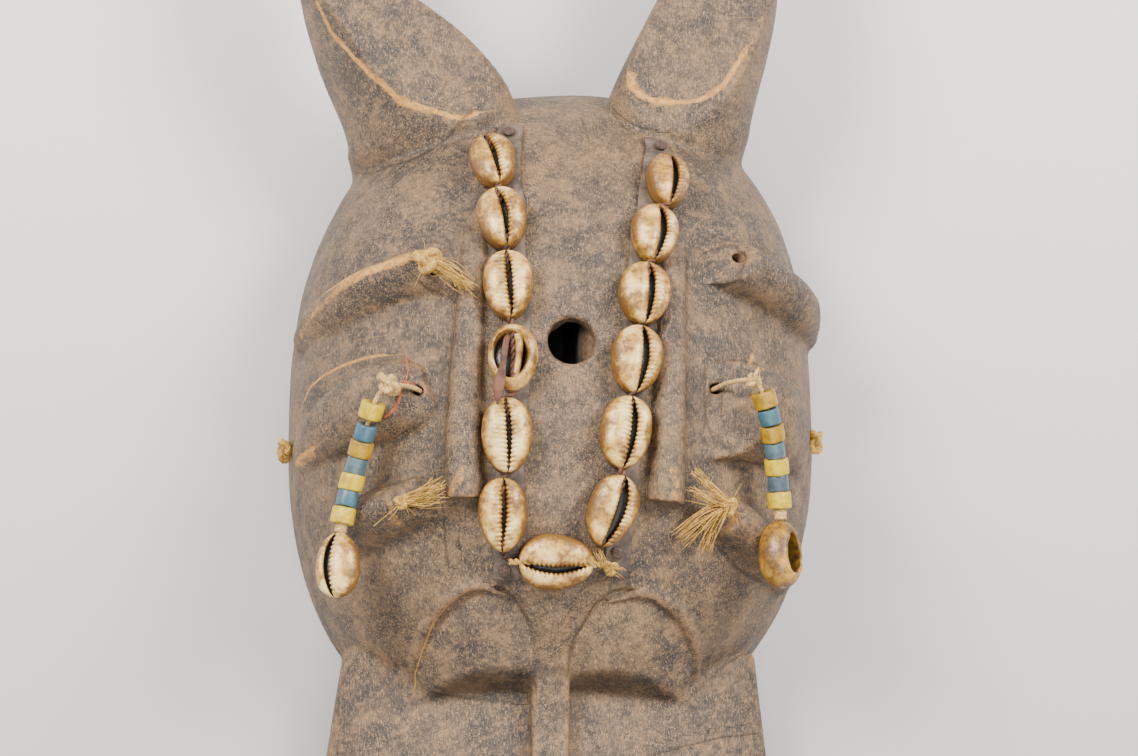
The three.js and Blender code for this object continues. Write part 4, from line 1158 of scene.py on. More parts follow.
def wear_and_shade(points):
    filled = np.clip(0.5 - wood_field / STEP, 0, 1).astype(np.float32)
    proud = 0.5 - field_at(spread(filled, 2.2), points)
    # How deep a point sits in a corner; the finish turns this into painted shade
    deep = field_at(spread(filled, 6.0), points) - 0.5
    rubbed = np.zeros(len(points))
    for strength, reach, line in RUBBED:
        near = strength * (1 - smooth_step(line_distance(points, line), 0.25 * reach, reach))
        rubbed = np.maximum(rubbed, near)
    behind = 1 - smooth_step(share_of_dome(points), 0.88, 0.95)
    x, y, z = points.T
    # Points on the cut face under the lids get painted shade there
    depth = turned_back(y - UNDERCUT["y"], z - UNDERCUT["z"], UNDERCUT["tilt"])[0]
    undercut_shade = (1 - smooth_step(np.abs(depth), 0.6, 1.3)) * smooth_step(y, -106, -101) * (np.abs(x) < 44)
    return {
        "edge": smooth_step(proud, 0.03, 0.17),
        # Painted shade in the corners and on the cut under the lids
        "corner_shade": np.maximum(smooth_step(deep, 0.05, 0.26), 0.9 * undercut_shade * (z > 30)),
        "rubbed": rubbed,
        "hollow": np.where(points[:, 2] < 1.0, 0.6, behind),
        "scored_and_crease_shade": across_lines(points, SCORED_AND_CREASE_SHADE),
        "bared": across_lines(points, BARE_LINES),
    }


skin_values = wear_and_shade(skin[0])
print("Mean wear:", {key: round(float(value.mean()), 3) for key, value in skin_values.items()})

# %% [markdown]
# ## The wood's finish
#
# A dense tropical hardwood, adzed, scraped and then darkened by palm oil, smoke and dust that have
# dried to a greyish satin. The finish is built in layers: brown wood under a mottled film, pale and
# dark flecks along the grain, patches of fine specks, orange wood where edges, rubbed stretches and
# crests have lost the film, raw wood behind, painted shade in the corners and under the lids, and
# the dark scored lines, some of them painted shade along creases. Wood has an IOR of about 1.5 and
# the old film is fairly matt.


# %% Old darkened hardwood
def wood_material():
    material, tree, shader = start_material("old darkened hardwood", IOR=1.5)
    where = place_on_object(tree)
    along_grain = place_on_object(tree, stretch=(1, 0.3, 1))
    drifts = grain_noise(tree, where, 34.0, detail=4.0, roughness=0.55)
    clouds = grain_noise(tree, where, 9.0, detail=7.0, roughness=0.7)
    crumbled = ramped(tree, grain_noise(tree, where, 22.0, detail=3.0), 0.4, 0.62)
    mottle = grain_noise(tree, where, 2.1, detail=7.0, roughness=0.85)
    grit = grain_noise(tree, along_grain, 0.5, detail=3.0, roughness=0.8)
    specks = grain_noise(tree, where, 0.42, detail=1.0, roughness=0.5)
    colour = blended(tree, ramped(tree, drifts, 0.38, 0.6), "#3a342f", "#584838")
    for source, low, high, strength, tone in (
        (clouds, 0.46, 0.62, 0.75, "#7f6446"),
        (clouds, 0.46, 0.36, 0.8, "#2b2624"),
        (mottle, 0.5, 0.66, 0.7, "#9d7b57"),
        (mottle, 0.48, 0.34, 0.8, "#181310"),
        (grit, 0.55, 0.66, 0.65, "#b8956c"),
        (grit, 0.43, 0.32, 0.75, "#0e0a07"),
    ):
        colour = stained(tree, colour, source, low, high, strength, tone)
    speckled = between_limits(tree, crumbled, 0.12, 0.7)
    colour = stained(tree, colour, specks, 0.6, 0.7, speckled, "#ad8d69")
    colour = stained(tree, colour, specks, 0.42, 0.32, speckled, "#120d0a")
    edge = times(tree, stored(tree, "edge"), ramped(tree, mottle, 0.42, 0.56))
    colour = blended(tree, times(tree, edge, 0.55), colour, "#947049")
    flakes = grain_noise(tree, where, 2.0, detail=8.0, roughness=0.8)
    chips = times_plus(tree, flakes, 1.3, stored(tree, "rubbed"))
    bare_wood = blended(tree, ramped(tree, mottle, 0.4, 0.62), "#dca24c", "#94662a")
    colour = stained(tree, colour, chips, 1.2, 1.44, 0.8, bare_wood)
    ragged = times_plus(tree, mottle, -5.0, without_sign(tree, stored(tree, "bared")))
    colour = stained(tree, colour, ragged, -1.3, -1.9, 0.9, bare_wood)
    raw = blended(tree, ramped(tree, mottle, 0.4, 0.6), "#4c3827", "#705439")
    colour = blended(tree, times(tree, stored(tree, "hollow"), 0.85), colour, raw)
    # Painted shade: the corners and the cut under the lids are darkened as if shade fell there
    colour = blended(tree, times(tree, stored(tree, "corner_shade"), 0.48), colour, "#231b15")
    # Dark lines: scratches and cracks, and painted shade along creases, broken up by the mottle
    line_and_crease_shade = ramped(tree, without_sign(tree, stored(tree, "scored_and_crease_shade")), 2.2, 0.2)
    broken_line_and_crease_shade = times(tree, line_and_crease_shade, ramped(tree, mottle, 0.36, 0.56))
    colour = blended(tree, times(tree, broken_line_and_crease_shade, 0.6), colour, "#1a140f")
    height = times_plus(tree, mottle, 0.6, times(tree, grit, 0.5))
    height = times_plus(tree, line_and_crease_shade, -0.5, height)
    connect(tree, shader, colour, height, 0.42, between_limits(tree, mottle, 0.42, 0.72))
    return material


mask_piece = make_piece("carved_mask", skin, wood_material(), ["mask_body"], values=skin_values)
print("Carved mask:", len(mask_piece.data.polygons), "faces")

# %% [markdown]
# ## Leather straps
#
# Two narrow straps of dried hide carry the shells. Each was cut by eye with a knife, so its edges
# wander, and it lies along the dome from the horns' roots to the lower arches. The ring of points
# round the strap is a flat oval with slightly raised edges, carried along the dome.

# %% Straps
STRAPS = {
    "left": [
        (-15.4, 82), (-17, 68.5), (-16, 47.8), (-15.2, 25.5), (-14.7, 2), (-15.6, -21.5), (-16.9, -45),
        (-17.2, -63),
    ],
    "right": [
        (30, 78.6), (28.2, 63), (24.6, 44), (22, 24), (20.2, 3), (18.6, -19.6), (16.7, -43), (15.4, -61.5),
    ],
}
STRAP_HALF_WIDTH = 4.1
STRAP_THICKNESS = 1.4
STRAP_GAP = 0.4
SHELL_LIFT = STRAP_THICKNESS + 2 * STRAP_GAP


def strap_skin(places, seed):
    luck = random.Random(seed)
    line = snap_to_face(spline([on_dome(*place) for place in places], 170))
    ahead = unit(np.gradient(line, axis=0))
    shift = luck.uniform(0, 50)
    rings = []
    for k, (spot, along) in enumerate(zip(line, ahead)):
        share = k / (len(line) - 1)
        side = unit(np.cross(along, face_normal(spot)))
        corner = 1 - 0.12 * math.exp(-min(share, 1 - share) * 90)
        ring = []
        for angle in np.linspace(0, 2 * math.pi, 20, endpoint=False):
            u = signed_power(math.cos(angle), 0.35)
            v = signed_power(math.sin(angle), 0.6)
            wander = 0.22 * noise.noise(Vector((k * 0.09, u * 3, shift)))
            edge = snap_to_face(spot + side * u * STRAP_HALF_WIDTH * corner * (1 + wander * abs(u)))
            puff = 0.25 * noise.noise(Vector((k * 0.13, u * 2, shift + 9)))
            rise = STRAP_THICKNESS * (0.5 + 0.42 * v + puff * (v > 0))
            ring.append(edge + face_normal(edge) * (STRAP_GAP + rise))
        rings.append(ring)
    return loft(np.array(rings))


def leather_material(name, pale, dark, edge):
    material, tree, shader = start_material(name, IOR=1.5)
    where = place_on_object(tree)
    creases = grain_noise(tree, where, 1.6, detail=6.0, roughness=0.7)
    patches = grain_noise(tree, where, 7.0, detail=4.0)
    colour = blended(tree, ramped(tree, patches, 0.38, 0.64), dark, pale)
    colour = stained(tree, colour, creases, 0.55, 0.7, 0.6, edge)
    connect(tree, shader, colour, creases, 0.35, between_limits(tree, creases, 0.5, 0.85))
    return material


hide = leather_material("dried hide", "#6e5e50", "#463b33", "#927d66")
thong_hide = leather_material("brown thong", "#6b4630", "#3a261b", "#8f6840")
for number, (side, places) in enumerate(STRAPS.items()):
    make_piece(f"hide_strap_{side}", strap_skin(places, 11 + number), hide, [f"strap_{side}"])

# %% [markdown]
# ## Cowrie shells
#
# A cowrie is an egg whose two lips roll into a long toothed mouth. On the strings the rounded back
# has been broken away so that the thong can pass, and the shell lies mouth up on its strap. Each
# one is lofted from sections across the shell. The section runs from the floor of the mouth, over
# the lip, down the shoulder and round the cut back, and the teeth are waves along the mouth that
# fade out across the lip. The stations are close enough to give each tooth six of them.

# %% Shape of a cowrie
TOOTH_PITCH = 1.35
SHELL_HEIGHT = 7.5
SHELL_WAIST = 3.0


def cowrie_skin(length, width, seed, gape, slot, teeth, aged, back="cut", blunt=1):
    """A cowrie with its mouth upwards. slot is where the mouth runs at the top, middle and foot,
    as shares of the width, and teeth is how far the ridges reach across the two lips, in mm."""
    luck = random.Random(seed)
    place = np.linspace(-1, 1, int(length / TOOTH_PITCH * 6))
    t = place * (1.28 - 0.28 * place**2)
    y = t * length / 2
    ends = np.maximum(1 - np.abs(t) ** 2.3, 0.0)
    half_width = np.maximum(width / 2 * (1 + 0.12 * blunt * t) * ends**0.52, 0.35)
    crown = SHELL_WAIST + (SHELL_HEIGHT - SHELL_WAIST) * ends**0.42
    swell = 0.4 + 0.75 * np.sin(math.pi * ((1 - t) / 2) ** 0.8)
    opening = gape * swell * np.clip(6 * (1 - np.abs(t)) + 0.4, 0, 1)
    opening = np.minimum(opening, half_width * 0.4)
    middle = width * np.interp(t, [-1, -0.5, 0, 0.5, 1], [
        slot[2], mix(slot[2], slot[1], 0.7), slot[1], mix(slot[0], slot[1], 0.75), slot[0]
    ]) * ends**0.25
    bumps = [luck.uniform(0, 50) for _ in range(3)]
    tooth_phase = [luck.uniform(0, 6), luck.uniform(0, 6)]
    tooth_reach = {-1: teeth[0], 1: teeth[1]}
    rings, mouth_shade, groove = [], [], []
    for k in range(len(t)):
        sides = []
        for sign in (-1, 1):
            wave = 0.5 + 0.5 * math.cos(2 * math.pi * y[k] / TOOTH_PITCH + tooth_phase[(sign + 1) // 2])
            fade = min(1.0, ends[k] * 2.2)
            tooth = 0.34 * wave * fade * (tooth_reach[sign] > 1)
            lip_edge = middle[k] + sign * max(opening[k] - tooth, 0.1)
            outer = sign * half_width[k] * (1 + 0.05 * noise.noise(Vector((t[k] * 1.6, sign, bumps[0]))))
            floor = max(0.8, crown[k] - 4.2)
            # The third value is painted shade in the mouth, the fourth how deep a point lies between teeth
            row = [(middle[k] + 0.3 * (lip_edge - middle[k]), floor, 1.0, 0.0)]
            for share in (0.15, 0.5, 0.8):
                x = lip_edge + sign * 0.25 * (1 - share)
                row.append((x, mix(floor, crown[k] - 1.1, share), 1 - share, 0.3))
            for share in np.linspace(0, 1, 15):
                angle = math.pi / 2 * share**0.9
                x = lip_edge + (outer - lip_edge) * math.sin(angle) ** 1.15
                inset = abs(x - lip_edge)
                rise = max(1 - abs(x / outer) ** 2.5, 0) ** 0.5 if abs(outer) > 1e-6 else 0
                z = SHELL_WAIST + (crown[k] - SHELL_WAIST) * rise
                z -= min(1.1, crown[k] * 0.2) * math.exp(-inset / 0.75) * fade
                ridge = (1 - wave) * fade * float(1 - smooth_step(inset, 0.2, tooth_reach[sign]))
                z -= 0.26 * ridge
                z += 0.22 * noise.noise(Vector((x * 0.3, y[k] * 0.3, bumps[1])))
                row.append((x, z, 0.35 * math.exp(-inset / 0.35), ridge))
            for share in np.linspace(0, 1, 9)[1:]:
                if back == "cut":
                    x = outer * (0.97 if share < 0.5 else 0.97 - 0.9 * (share - 0.5) * 2)
                    z = SHELL_WAIST * (1 - min(share * 2, 1)) ** 0.8
                else:
                    x = outer * math.cos(math.pi / 2 * share) ** 0.9
                    z = SHELL_WAIST - 1.5 * SHELL_WAIST * ends[k] ** 0.5 * math.sin(math.pi / 2 * share)
                row.append((x, z, 0.0, 0.0))
            sides.append(row)
        ring = sides[0][::-1] + sides[1]
        rings.append([(x, y[k], z) for x, z, _, _ in ring])
        mouth_shade += [value for _, _, value, _ in ring]
        groove += [value for _, _, _, value in ring]
    skin = loft(np.array(rings))
    slope = 1 - smooth_step(np.array(rings)[:, :, 2] / crown[:, None], 0.5, 0.98)
    values = {"mouth_shade": np.array(mouth_shade), "groove": np.array(groove), "slope": slope.ravel()}
    values["aged"] = np.full(len(mouth_shade), aged)
    return skin, values


def ringed_cowrie(rows, length, width, blunt, ragged, slip=(0.0, 0.0)):
    """A shell built up of egg-shaped rings. rows are each ring's size, height and painted shade, and
    ragged says how its broken edge wavers: by how much, how often, and from which ring on."""
    height, waves, seed, first, last = ragged
    angle = np.linspace(0, 2 * math.pi, 72, endpoint=False)
    across, along = np.cos(angle), np.sin(angle)
    egg = np.stack([across * (1 + blunt * along) * width / 2, along * length / 2], axis=1)
    broken = [noise.noise(Vector((math.cos(a) * waves, math.sin(a) * waves, seed))) for a in angle]
    rings, mouth_shade = [], []
    for k, (size, z, dark) in enumerate(rows):
        lift = height * np.array(broken) * float(smooth_step(k, first, last)) * (k < 13)
        rings.append(np.column_stack([egg * size + smooth_step(k, 5, 10) * np.array(slip), z + lift]))
        mouth_shade += [dark] * len(angle)
    return loft(np.array(rings)), mouth_shade


def plain_values(mouth_shade, aged):
    return {"mouth_shade": np.array(mouth_shade), "groove": np.zeros(len(mouth_shade)), "aged": np.full(len(mouth_shade), aged)}


def open_cowrie_skin(length, width, aged):
    """A cowrie lying on its mouth, with its back broken away: a rim round a hollow"""
    # The third number of each row is painted shade, dark inside the hollow
    rows = (
        (0.55, 0.0, 0.0), (0.9, 0.15, 0.0), (0.99, 2.0, 0.0), (1.0, 3.4, 0.0), (0.97, 4.8, 0.0),
        (0.92, 5.9, 0.0), (0.86, 6.6, 0.0), (0.8, 6.9, 0.02), (0.75, 6.7, 0.05), (0.72, 6.0, 0.15),
        (0.7, 4.8, 0.35), (0.66, 3.4, 0.6), (0.58, 2.3, 0.8), (0.4, 1.7, 0.9), (0.15, 1.6, 0.9),
        (0.02, 1.6, 0.9),
    )
    slip = (-0.1 * width / 2, 0.05 * length / 2)
    skin, mouth_shade = ringed_cowrie(rows, length, width, 0.1, (0.35, 1.8, 4, 3, 7), slip)
    crest = ((1.4, 7, 4.6), (1.9, 3.5, 3.8), (1.5, -1, 3.2), (0.9, -5, 3.2), (0.4, -8, 4.2))
    ridge = tube(spline(crest, 30), 1.15, 10)
    mouth_shade += [0.25] * len(ridge[0])
    return joined([skin, ridge]), plain_values(mouth_shade, aged)


def broken_cowrie_skin(length, width, aged=0.9):
    """A whole cowrie with a long hole broken in its back, which shows its smooth inside"""
    # The third number of each row is painted shade, dark on the inside that shows through the hole
    rows = (
        (0.02, -4.4, 0.0), (0.35, -4.2, 0.0), (0.65, -3.3, 0.0), (0.86, -1.8, 0.0), (0.97, 0.2, 0.0),
        (1.0, 2.0, 0.0), (0.97, 3.8, 0.0), (0.88, 5.4, 0.0), (0.76, 6.4, 0.0), (0.66, 6.8, 0.05),
        (0.6, 6.7, 0.1), (0.58, 6.2, 0.2), (0.66, 4.4, 0.4), (0.7, 2.4, 0.5), (0.6, 0.2, 0.6),
        (0.4, -1.2, 0.7), (0.15, -1.8, 0.7), (0.02, -1.8, 0.7),
    )
    skin, mouth_shade = ringed_cowrie(rows, length, width, -0.12, (0.5, 2.2, 7, 6, 9))
    return skin, plain_values(mouth_shade, aged)


# %% [markdown]
# ## The shell's finish
#
# Cowrie shell is aragonite, IOR about 1.6, with a natural glaze. On the real strings the glaze is
# dulled and camwood powder and rust have settled in freckles. A larger aged value lets more of the
# freckles through, and the stored slope, which grows from the crown down the sides, does the same
# for the outer slopes. The grooves between the teeth are darkened, and the mouth and the insides of
# broken shells are painted dark as shade.


# %% Cowrie shell
def shell_material(name, cream, ochre, rust, deep):
    material, tree, shader = start_material(name, IOR=1.6)
    where = place_on_object(tree)
    freckles = grain_noise(tree, where, 1.9, detail=7.0, roughness=0.8)
    patches = grain_noise(tree, where, 6.5, detail=3.0)
    worn = times_plus(tree, stored(tree, "aged"), 0.24, patches)
    worn = times_plus(tree, stored(tree, "slope"), 0.26, worn)
    spots = ramped(tree, times_plus(tree, worn, 0.7, freckles), 0.9, 1.12)
    colour = stained(tree, cream, worn, 0.38, 0.74, 0.85, ochre)
    colour = blended(tree, times(tree, spots, 0.85), colour, rust)
    colour = blended(tree, times(tree, stored(tree, "groove"), 0.55), colour, rust)
    # Painted shade: the mouth and the insides of broken shells are darkened nearly to black
    colour = blended(tree, ramped(tree, stored(tree, "mouth_shade"), 0.15, 0.75), colour, deep)
    connect(tree, shader, colour, freckles, 0.12, between_limits(tree, spots, 0.2, 0.5))
    return material


shell = shell_material("stained cowrie", "#ffe294", "#b07a14", "#5e3a08", "#160c05")
brown_shell = shell_material("smoked cowrie", "#cfa244", "#8a601a", "#4a2e0e", "#1c1008")

# %% [markdown]
# ## Stringing the shells
#
# Left and right strings have six shells each, and one more lies across between their lower ends.
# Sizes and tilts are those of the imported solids, measured from each shell in the photograph. The
# fourth shell on the left lies on its mouth, so it needs no gape, slot or teeth.

# %% String the cowries
SHELL_FIELDS = ("at", "length", "width", "tilt", "aged", "gape", "slot", "teeth")
SHELL_ROWS = {
    "left": (
        ((-20.9, 65.1), 20.0, 13.8, 12, 0.75, 0.8, (-0.12, 0.05, 0.08), (0.5, 2.4)),
        ((-18.8, 45.4), 20.5, 15.0, 9, 0.6, 0.85, (-0.05, 0.08, 0.03), (0.5, 2.2)),
        ((-17.3, 23.9), 21.5, 15.2, 2, 0.3, 0.95, (-0.02, 0.04, 0.09), (4.4, 2.0)),
        ((-15.8, 1.1), 20.5, 14.9, 0, 0.8),
        ((-17.4, -22.1), 22.5, 15.2, 0, 0.25, 0.85, (-0.055, 0.05, 0.05), (4.2, 2.0)),
        ((-18.2, -44.7), 22.0, 14.4, 1, 0.6, 0.75, (0.07, 0.04, -0.05), (3.4, 2.0)),
    ),
    "right": (
        ((30.9, 60.3), 19.0, 13.2, -8, 0.75, 0.95, (0.07, 0.12, 0.05), (0.5, 2.2)),
        ((26.3, 41.8), 19.2, 14.4, -8, 0.5, 1.0, (0.06, 0.14, 0.05), (0.5, 2.2)),
        ((22.9, 22.4), 19.6, 15.5, -6, 0.45, 1.0, (0.03, 0.1, 0.09), (0.5, 2.4)),
        ((20.4, 1.8), 20.8, 15.5, -6, 0.5, 1.0, (0.08, 0.14, 0.09), (0.5, 3.6)),
        ((17.1, -20.4), 22.0, 15.5, -8, 0.3, 1.0, (0.03, 0.12, 0.08), (3.0, 2.0)),
        ((13.3, -43), 22.0, 14.6, -17, 0.6, 1.35, (0.06, 0.14, 0.05), (0.5, 3.0)),
    ),
}
SHELLS = {side: [dict(zip(SHELL_FIELDS, row)) for row in rows] for side, rows in SHELL_ROWS.items()}
BOTTOM_ROW = ((-2.5, -57.3), 22.5, 16.5, 90, 0.6, 1.05, (0.0, -0.12, 0.0), (1.5, 1.2))
BOTTOM_SHELL = dict(zip(SHELL_FIELDS, BOTTOM_ROW))
OPEN_SHELL = "left_4"


def string_shell(name, shape, seed):
    place = seat(shape["at"], SHELL_LIFT, shape["tilt"])
    if name == OPEN_SHELL:
        skin, values = open_cowrie_skin(shape["length"], shape["width"], shape["aged"])
    else:
        looks = {key: shape[key] for key in ("gape", "slot", "teeth", "aged")}
        skin, values = cowrie_skin(shape["length"], shape["width"], seed, **looks)
    return make_piece(f"shell_{name}", skin, shell, [f"cowrie_{name}"], place, values)


for side, row in SHELLS.items():
    for number, shape in enumerate(row, 1):
        string_shell(f"{side}_{number}", shape, 100 * len(side) + number)
string_shell("bottom", BOTTOM_SHELL, 77)

# %% [markdown]
# ## Thongs
#
# A thin two-ply thong comes up out of each mouth, dips to the strap between two shells and goes
# down into the next. Low inside the shells it is hidden, so only the gaps matter. At the turned
# shell a flat strip of brown hide lies over its lower rim.

# %% Lace the thongs
THONG_DIPS = ((0.98, 2.4), (0.8, 4.0), (0, 2.4), (-0.8, 4.0), (-0.98, 2.4))
THONG_ENDS = {"left": ((-21.8, 75), (-17, -57)), "right": ((32.3, 70), (9.6, -54.4))}


def lifted(place, lift):
    foot = on_dome(*place)
    return foot + lift * face_normal(foot)


def in_seat(place, point):
    return np.array(place @ Vector(point))


def thong_line(side):
    first, last = THONG_ENDS[side]
    line = [lifted(first, 2.6)]
    for shape in SHELLS[side]:
        place = seat(shape["at"], SHELL_LIFT, shape["tilt"])
        half = shape["length"] / 2
        line += [in_seat(place, (0, share * half, z)) for share, z in THONG_DIPS]
    return spline(line + [lifted(last, 2.6)], 420)


def twisted_pair(line, radius, pitch, sides=8):
    """Two strands that wind round each other along a line"""
    along = unit(np.gradient(line, axis=0))
    across = unit(np.cross(along, [0.2, 0.1, 1.0]))
    above = np.cross(along, across)
    turn = 2 * math.pi * line_lengths(line) / pitch
    offset = radius * (np.cos(turn)[:, None] * across + np.sin(turn)[:, None] * above)
    return joined([tube(line + offset, radius, sides), tube(line - offset, radius, sides)])


for side in THONG_ENDS:
    strands = twisted_pair(thong_line(side), 0.55, 4.5)
    make_piece(f"lacing_{side}", strands, thong_hide, [f"thong_{side}"])
BOTTOM_THONG = (
    ((-16, -57.4), 4.5), ((-12.4, -57.2), 6.4), ((-2.5, -57.3), 4.6), ((7.6, -57.4), 6.6),
    ((11.5, -57.8), 5),
)
bottom_line = spline([lifted(at, lift) for at, lift in BOTTOM_THONG], 120)
make_piece("lacing_bottom", twisted_pair(bottom_line, 0.5, 4.0), raffia, ["thong_bottom"])


def ribbon(line, up, half_widths, thickness):
    """A flat strip along a line, with rounded edges and a groove inside each of them"""
    along = unit(np.gradient(line, axis=0))
    side = unit(np.cross(along, up))
    above = np.cross(side, along)
    rings = []
    for spot, across, rise, half in zip(line, side, above, half_widths):
        ring = []
        for angle in np.linspace(0, 2 * math.pi, 16, endpoint=False):
            u = signed_power(math.cos(angle), 0.6)
            groove = 0.35 * thickness * math.exp(-(abs(u) - 0.42) ** 2 / 0.02)
            lift = thickness / 2 * math.sin(angle) - groove * (math.sin(angle) > 0)
            ring.append(spot + across * half * u + rise * lift)
        rings.append(ring)
    return loft(np.array(rings))


open_seat = seat(SHELLS["left"][3]["at"], SHELL_LIFT, 0)
STRIP_STOPS = (
    (-1.2, 7.4, 3.4), (-1.9, 5.4, 4.4), (-2.6, 0.5, 5.6), (-3.2, -4.8, 7.2), (-3.8, -8.6, 8.2),
    (-4.2, -12, 8), (-4.6, -15.4, 6.6),
)
strip_line = spline([in_seat(open_seat, stop) for stop in STRIP_STOPS], 70)
strip_widths = np.interp(np.linspace(0, 1, 70), [0, 0.45, 0.66, 0.86, 1], [0.9, 1.0, 1.7, 1.4, 0.2])
off_the_wood = np.array(open_seat.to_3x3() @ Vector((0, 0, 1)))
make_piece("thong_strip", ribbon(strip_line, off_the_wood, strip_widths, 1.3), thong_hide)

# %% [markdown]
# ## Nails
#
# Four hand-forged iron nails with flat hammered heads hold the straps. They have rusted brown, so
# most of each head is rust, which is not a metal, with bare iron only where it is rubbed.


# %% Rusty nails
def rust_material():
    material, tree, shader = start_material("rusted iron")
    where = place_on_object(tree)
    flakes = grain_noise(tree, where, 0.7, detail=6.0, roughness=0.7)
    bare = ramped(tree, grain_noise(tree, where, 1.6, detail=3.0), 0.6, 0.68)
    colour = blended(tree, ramped(tree, flakes, 0.4, 0.62), "#3a2c25", "#5f4c41")
    colour = blended(tree, bare, colour, "#686058")
    tree.links.new(bare, shader.inputs["Metallic"])
    connect(tree, shader, colour, flakes, 0.2, between_limits(tree, bare, 0.85, 0.5))
    return material


NAILS = {
    "left_top": (-15.9, 78.3),
    "right_top": (30.4, 75.2),
    "left_bottom": (-17.3, -60.3),
    "right_bottom": (15.6, -54.6),
}


def nail_skin(seed):
    profile = [
        (0.25, -7), (0.6, -6), (0.6, -0.1), (1.75, -0.05), (2.0, 0.25), (1.9, 0.7), (1.4, 0.95),
        (0.7, 1.08), (0.05, 1.1),
    ]
    rings = []
    for radius, z in profile:
        ring = []
        for angle in np.linspace(0, 2 * math.pi, 26, endpoint=False):
            x, y = math.cos(angle), math.sin(angle)
            blow = 0.16 * noise.noise(Vector((x * 1.5, y * 1.5, seed + z)))
            size = radius * (1 + blow * (radius > 1))
            dent = 0.25 * noise.noise(Vector((radius * x, radius * y, seed * 3.0)))
            ring.append((size * x, size * y, z + dent * (z > 0.2)))
        rings.append(ring)
    return loft(np.array(rings))


rusted_iron = rust_material()
for number, (name, at) in enumerate(NAILS.items()):
    skin, place = nail_skin(number + 1), seat(at, SHELL_LIFT)
    make_piece(f"forged_nail_{name}", skin, rusted_iron, [f"nail_{name}"], place)

# %% [markdown]
# ## Beads
#
# The beads are old trade beads, cut from drawn glass tube and tumbled, so their ends are rounded
# and no two are quite alike. The glass is opaque, IOR 1.5, scratched to a satin, and yellow ones
# alternate with thinner blue ones.

# %% Glass beads
BEAD_LENGTH = 5.0
BEAD_BORE_RADIUS = 1.15
BEAD_SIDES = 40
YELLOW_KINDS = ("butter", "mustard")
BEAD_RADII = {"yellow": 3.6, "blue": 3.1}
BEAD_COLOURS = {
    "left": ("butter", "blue", "mustard", "grey", "butter", "blue", "butter"),
    "right": ("mustard", "blue", "mustard", "grey", "butter", "slate", "butter"),
}
GLASS = {
    "butter": ("#cdb000", "#94740a"),
    "mustard": ("#a88410", "#6e500e"),
    "blue": ("#3f6775", "#2d4b56"),
    "grey": ("#4f6a72", "#3e4c4f"),
    "slate": ("#465a66", "#333f48"),
}


def glass_material(name, pale, deep):
    material, tree, shader = start_material(f"{name} glass", IOR=1.5)
    where = place_on_object(tree)
    scratches = grain_noise(tree, where, 0.8, detail=6.0, roughness=0.7)
    streaks = grain_noise(tree, where, 2.4, detail=4.0)
    pits = grain_noise(tree, where, 0.9, detail=2.0)
    colour = stained(tree, pale, streaks, 0.42, 0.64, 0.6, deep)
    colour = stained(tree, colour, pits, 0.66, 0.72, 0.7, "#5a4230")
    # Painted shade: the bore and the ends round it are darkened, as shade falls into the hole and between
    # beads
    colour = blended(tree, times(tree, stored(tree, "bore"), 0.75), colour, "#4b3626")
    connect(tree, shader, colour, scratches, 0.1, between_limits(tree, scratches, 0.22, 0.5))
    return material


def bead_skin(radius, length, seed):
    half = length / 2
    bore = BEAD_BORE_RADIUS
    # The third number of each point is painted shade, darkest in the bore
    profile = [
        (bore, -half * 0.7, 1.0), (bore, -half + 0.1, 1.0), (bore + 0.35, -half, 0.6),
        (radius - 0.8, -half, 0.2), (radius - 0.3, -half + 0.06, 0.15), (radius - 0.07, -half + 0.24, 0.05),
        (radius, -half + 0.6, 0.0), (radius + 0.04, 0, 0.0),
    ]
    profile += [(r, -y, dark) for r, y, dark in profile[-2::-1]]
    luck = random.Random(seed)
    chips = luck.uniform(0, 90)
    lean = luck.uniform(-0.07, 0.07)
    rings, bore_shade_values = [], []
    for r, y, dark in profile:
        ring = []
        for angle in np.linspace(0, 2 * math.pi, BEAD_SIDES, endpoint=False):
            x, z = math.cos(angle), math.sin(angle)
            size = r * (1 + 0.05 * noise.noise(Vector((x, z, chips)))) if r > bore + 0.4 else r
            wave = 0.18 * noise.noise(Vector((x * 1.4, z * 1.4, chips + y)))
            ring.append((size * x, y + wave + lean * size * x, size * z))
        rings.append(ring)
        bore_shade_values += [dark] * BEAD_SIDES
    rings.append(rings[0])
    points, faces = loft(np.array(rings), close_ends=False)
    return (points, faces), {"bore": np.array(bore_shade_values + bore_shade_values[:BEAD_SIDES])}


glass = {name: glass_material(name, *colours) for name, colours in GLASS.items()}
pendant_pieces = {"left": [], "right": []}
for side, kinds in BEAD_COLOURS.items():
    for number, (kind, distance) in enumerate(zip(kinds, PENDANTS[side]["beads"]), 1):
        hue = "yellow" if kind in YELLOW_KINDS else "blue"
        bead, values = bead_skin(BEAD_RADII[hue], BEAD_LENGTH, 40 * number + len(side))
        place = on_cord(side, distance, roll=37 * number)
        name, node = f"glass_bead_{side}_{number}", f"bead_{side}_{number}"
        piece = make_piece(name, bead, glass[kind], [node], place, values)
        pendant_pieces[side].append(piece)

# %% [markdown]
# ## Knots, wraps and pendant shells
#
# Each cord is stopped in front of the eye by an overhand knot. A trefoil line is what such a knot
# looks like when it is pulled tight, with its short tail left beside it. Below the last bead, a few
# turns of thread whip the cord to the shell's tip. A thread dyed red comes out of the left hole too.


# %% Knots and wraps
def knot_line(radii, count=90, turn=0.0):
    t = np.linspace(0.2, 2 * math.pi + 0.1, count) + turn
    x, y, z = np.sin(t) + 2 * np.sin(2 * t), np.cos(t) - 2 * np.cos(2 * t), -np.sin(3 * t)
    return np.column_stack([x / 3 * radii[0], y / 3 * radii[1], z * radii[2]])


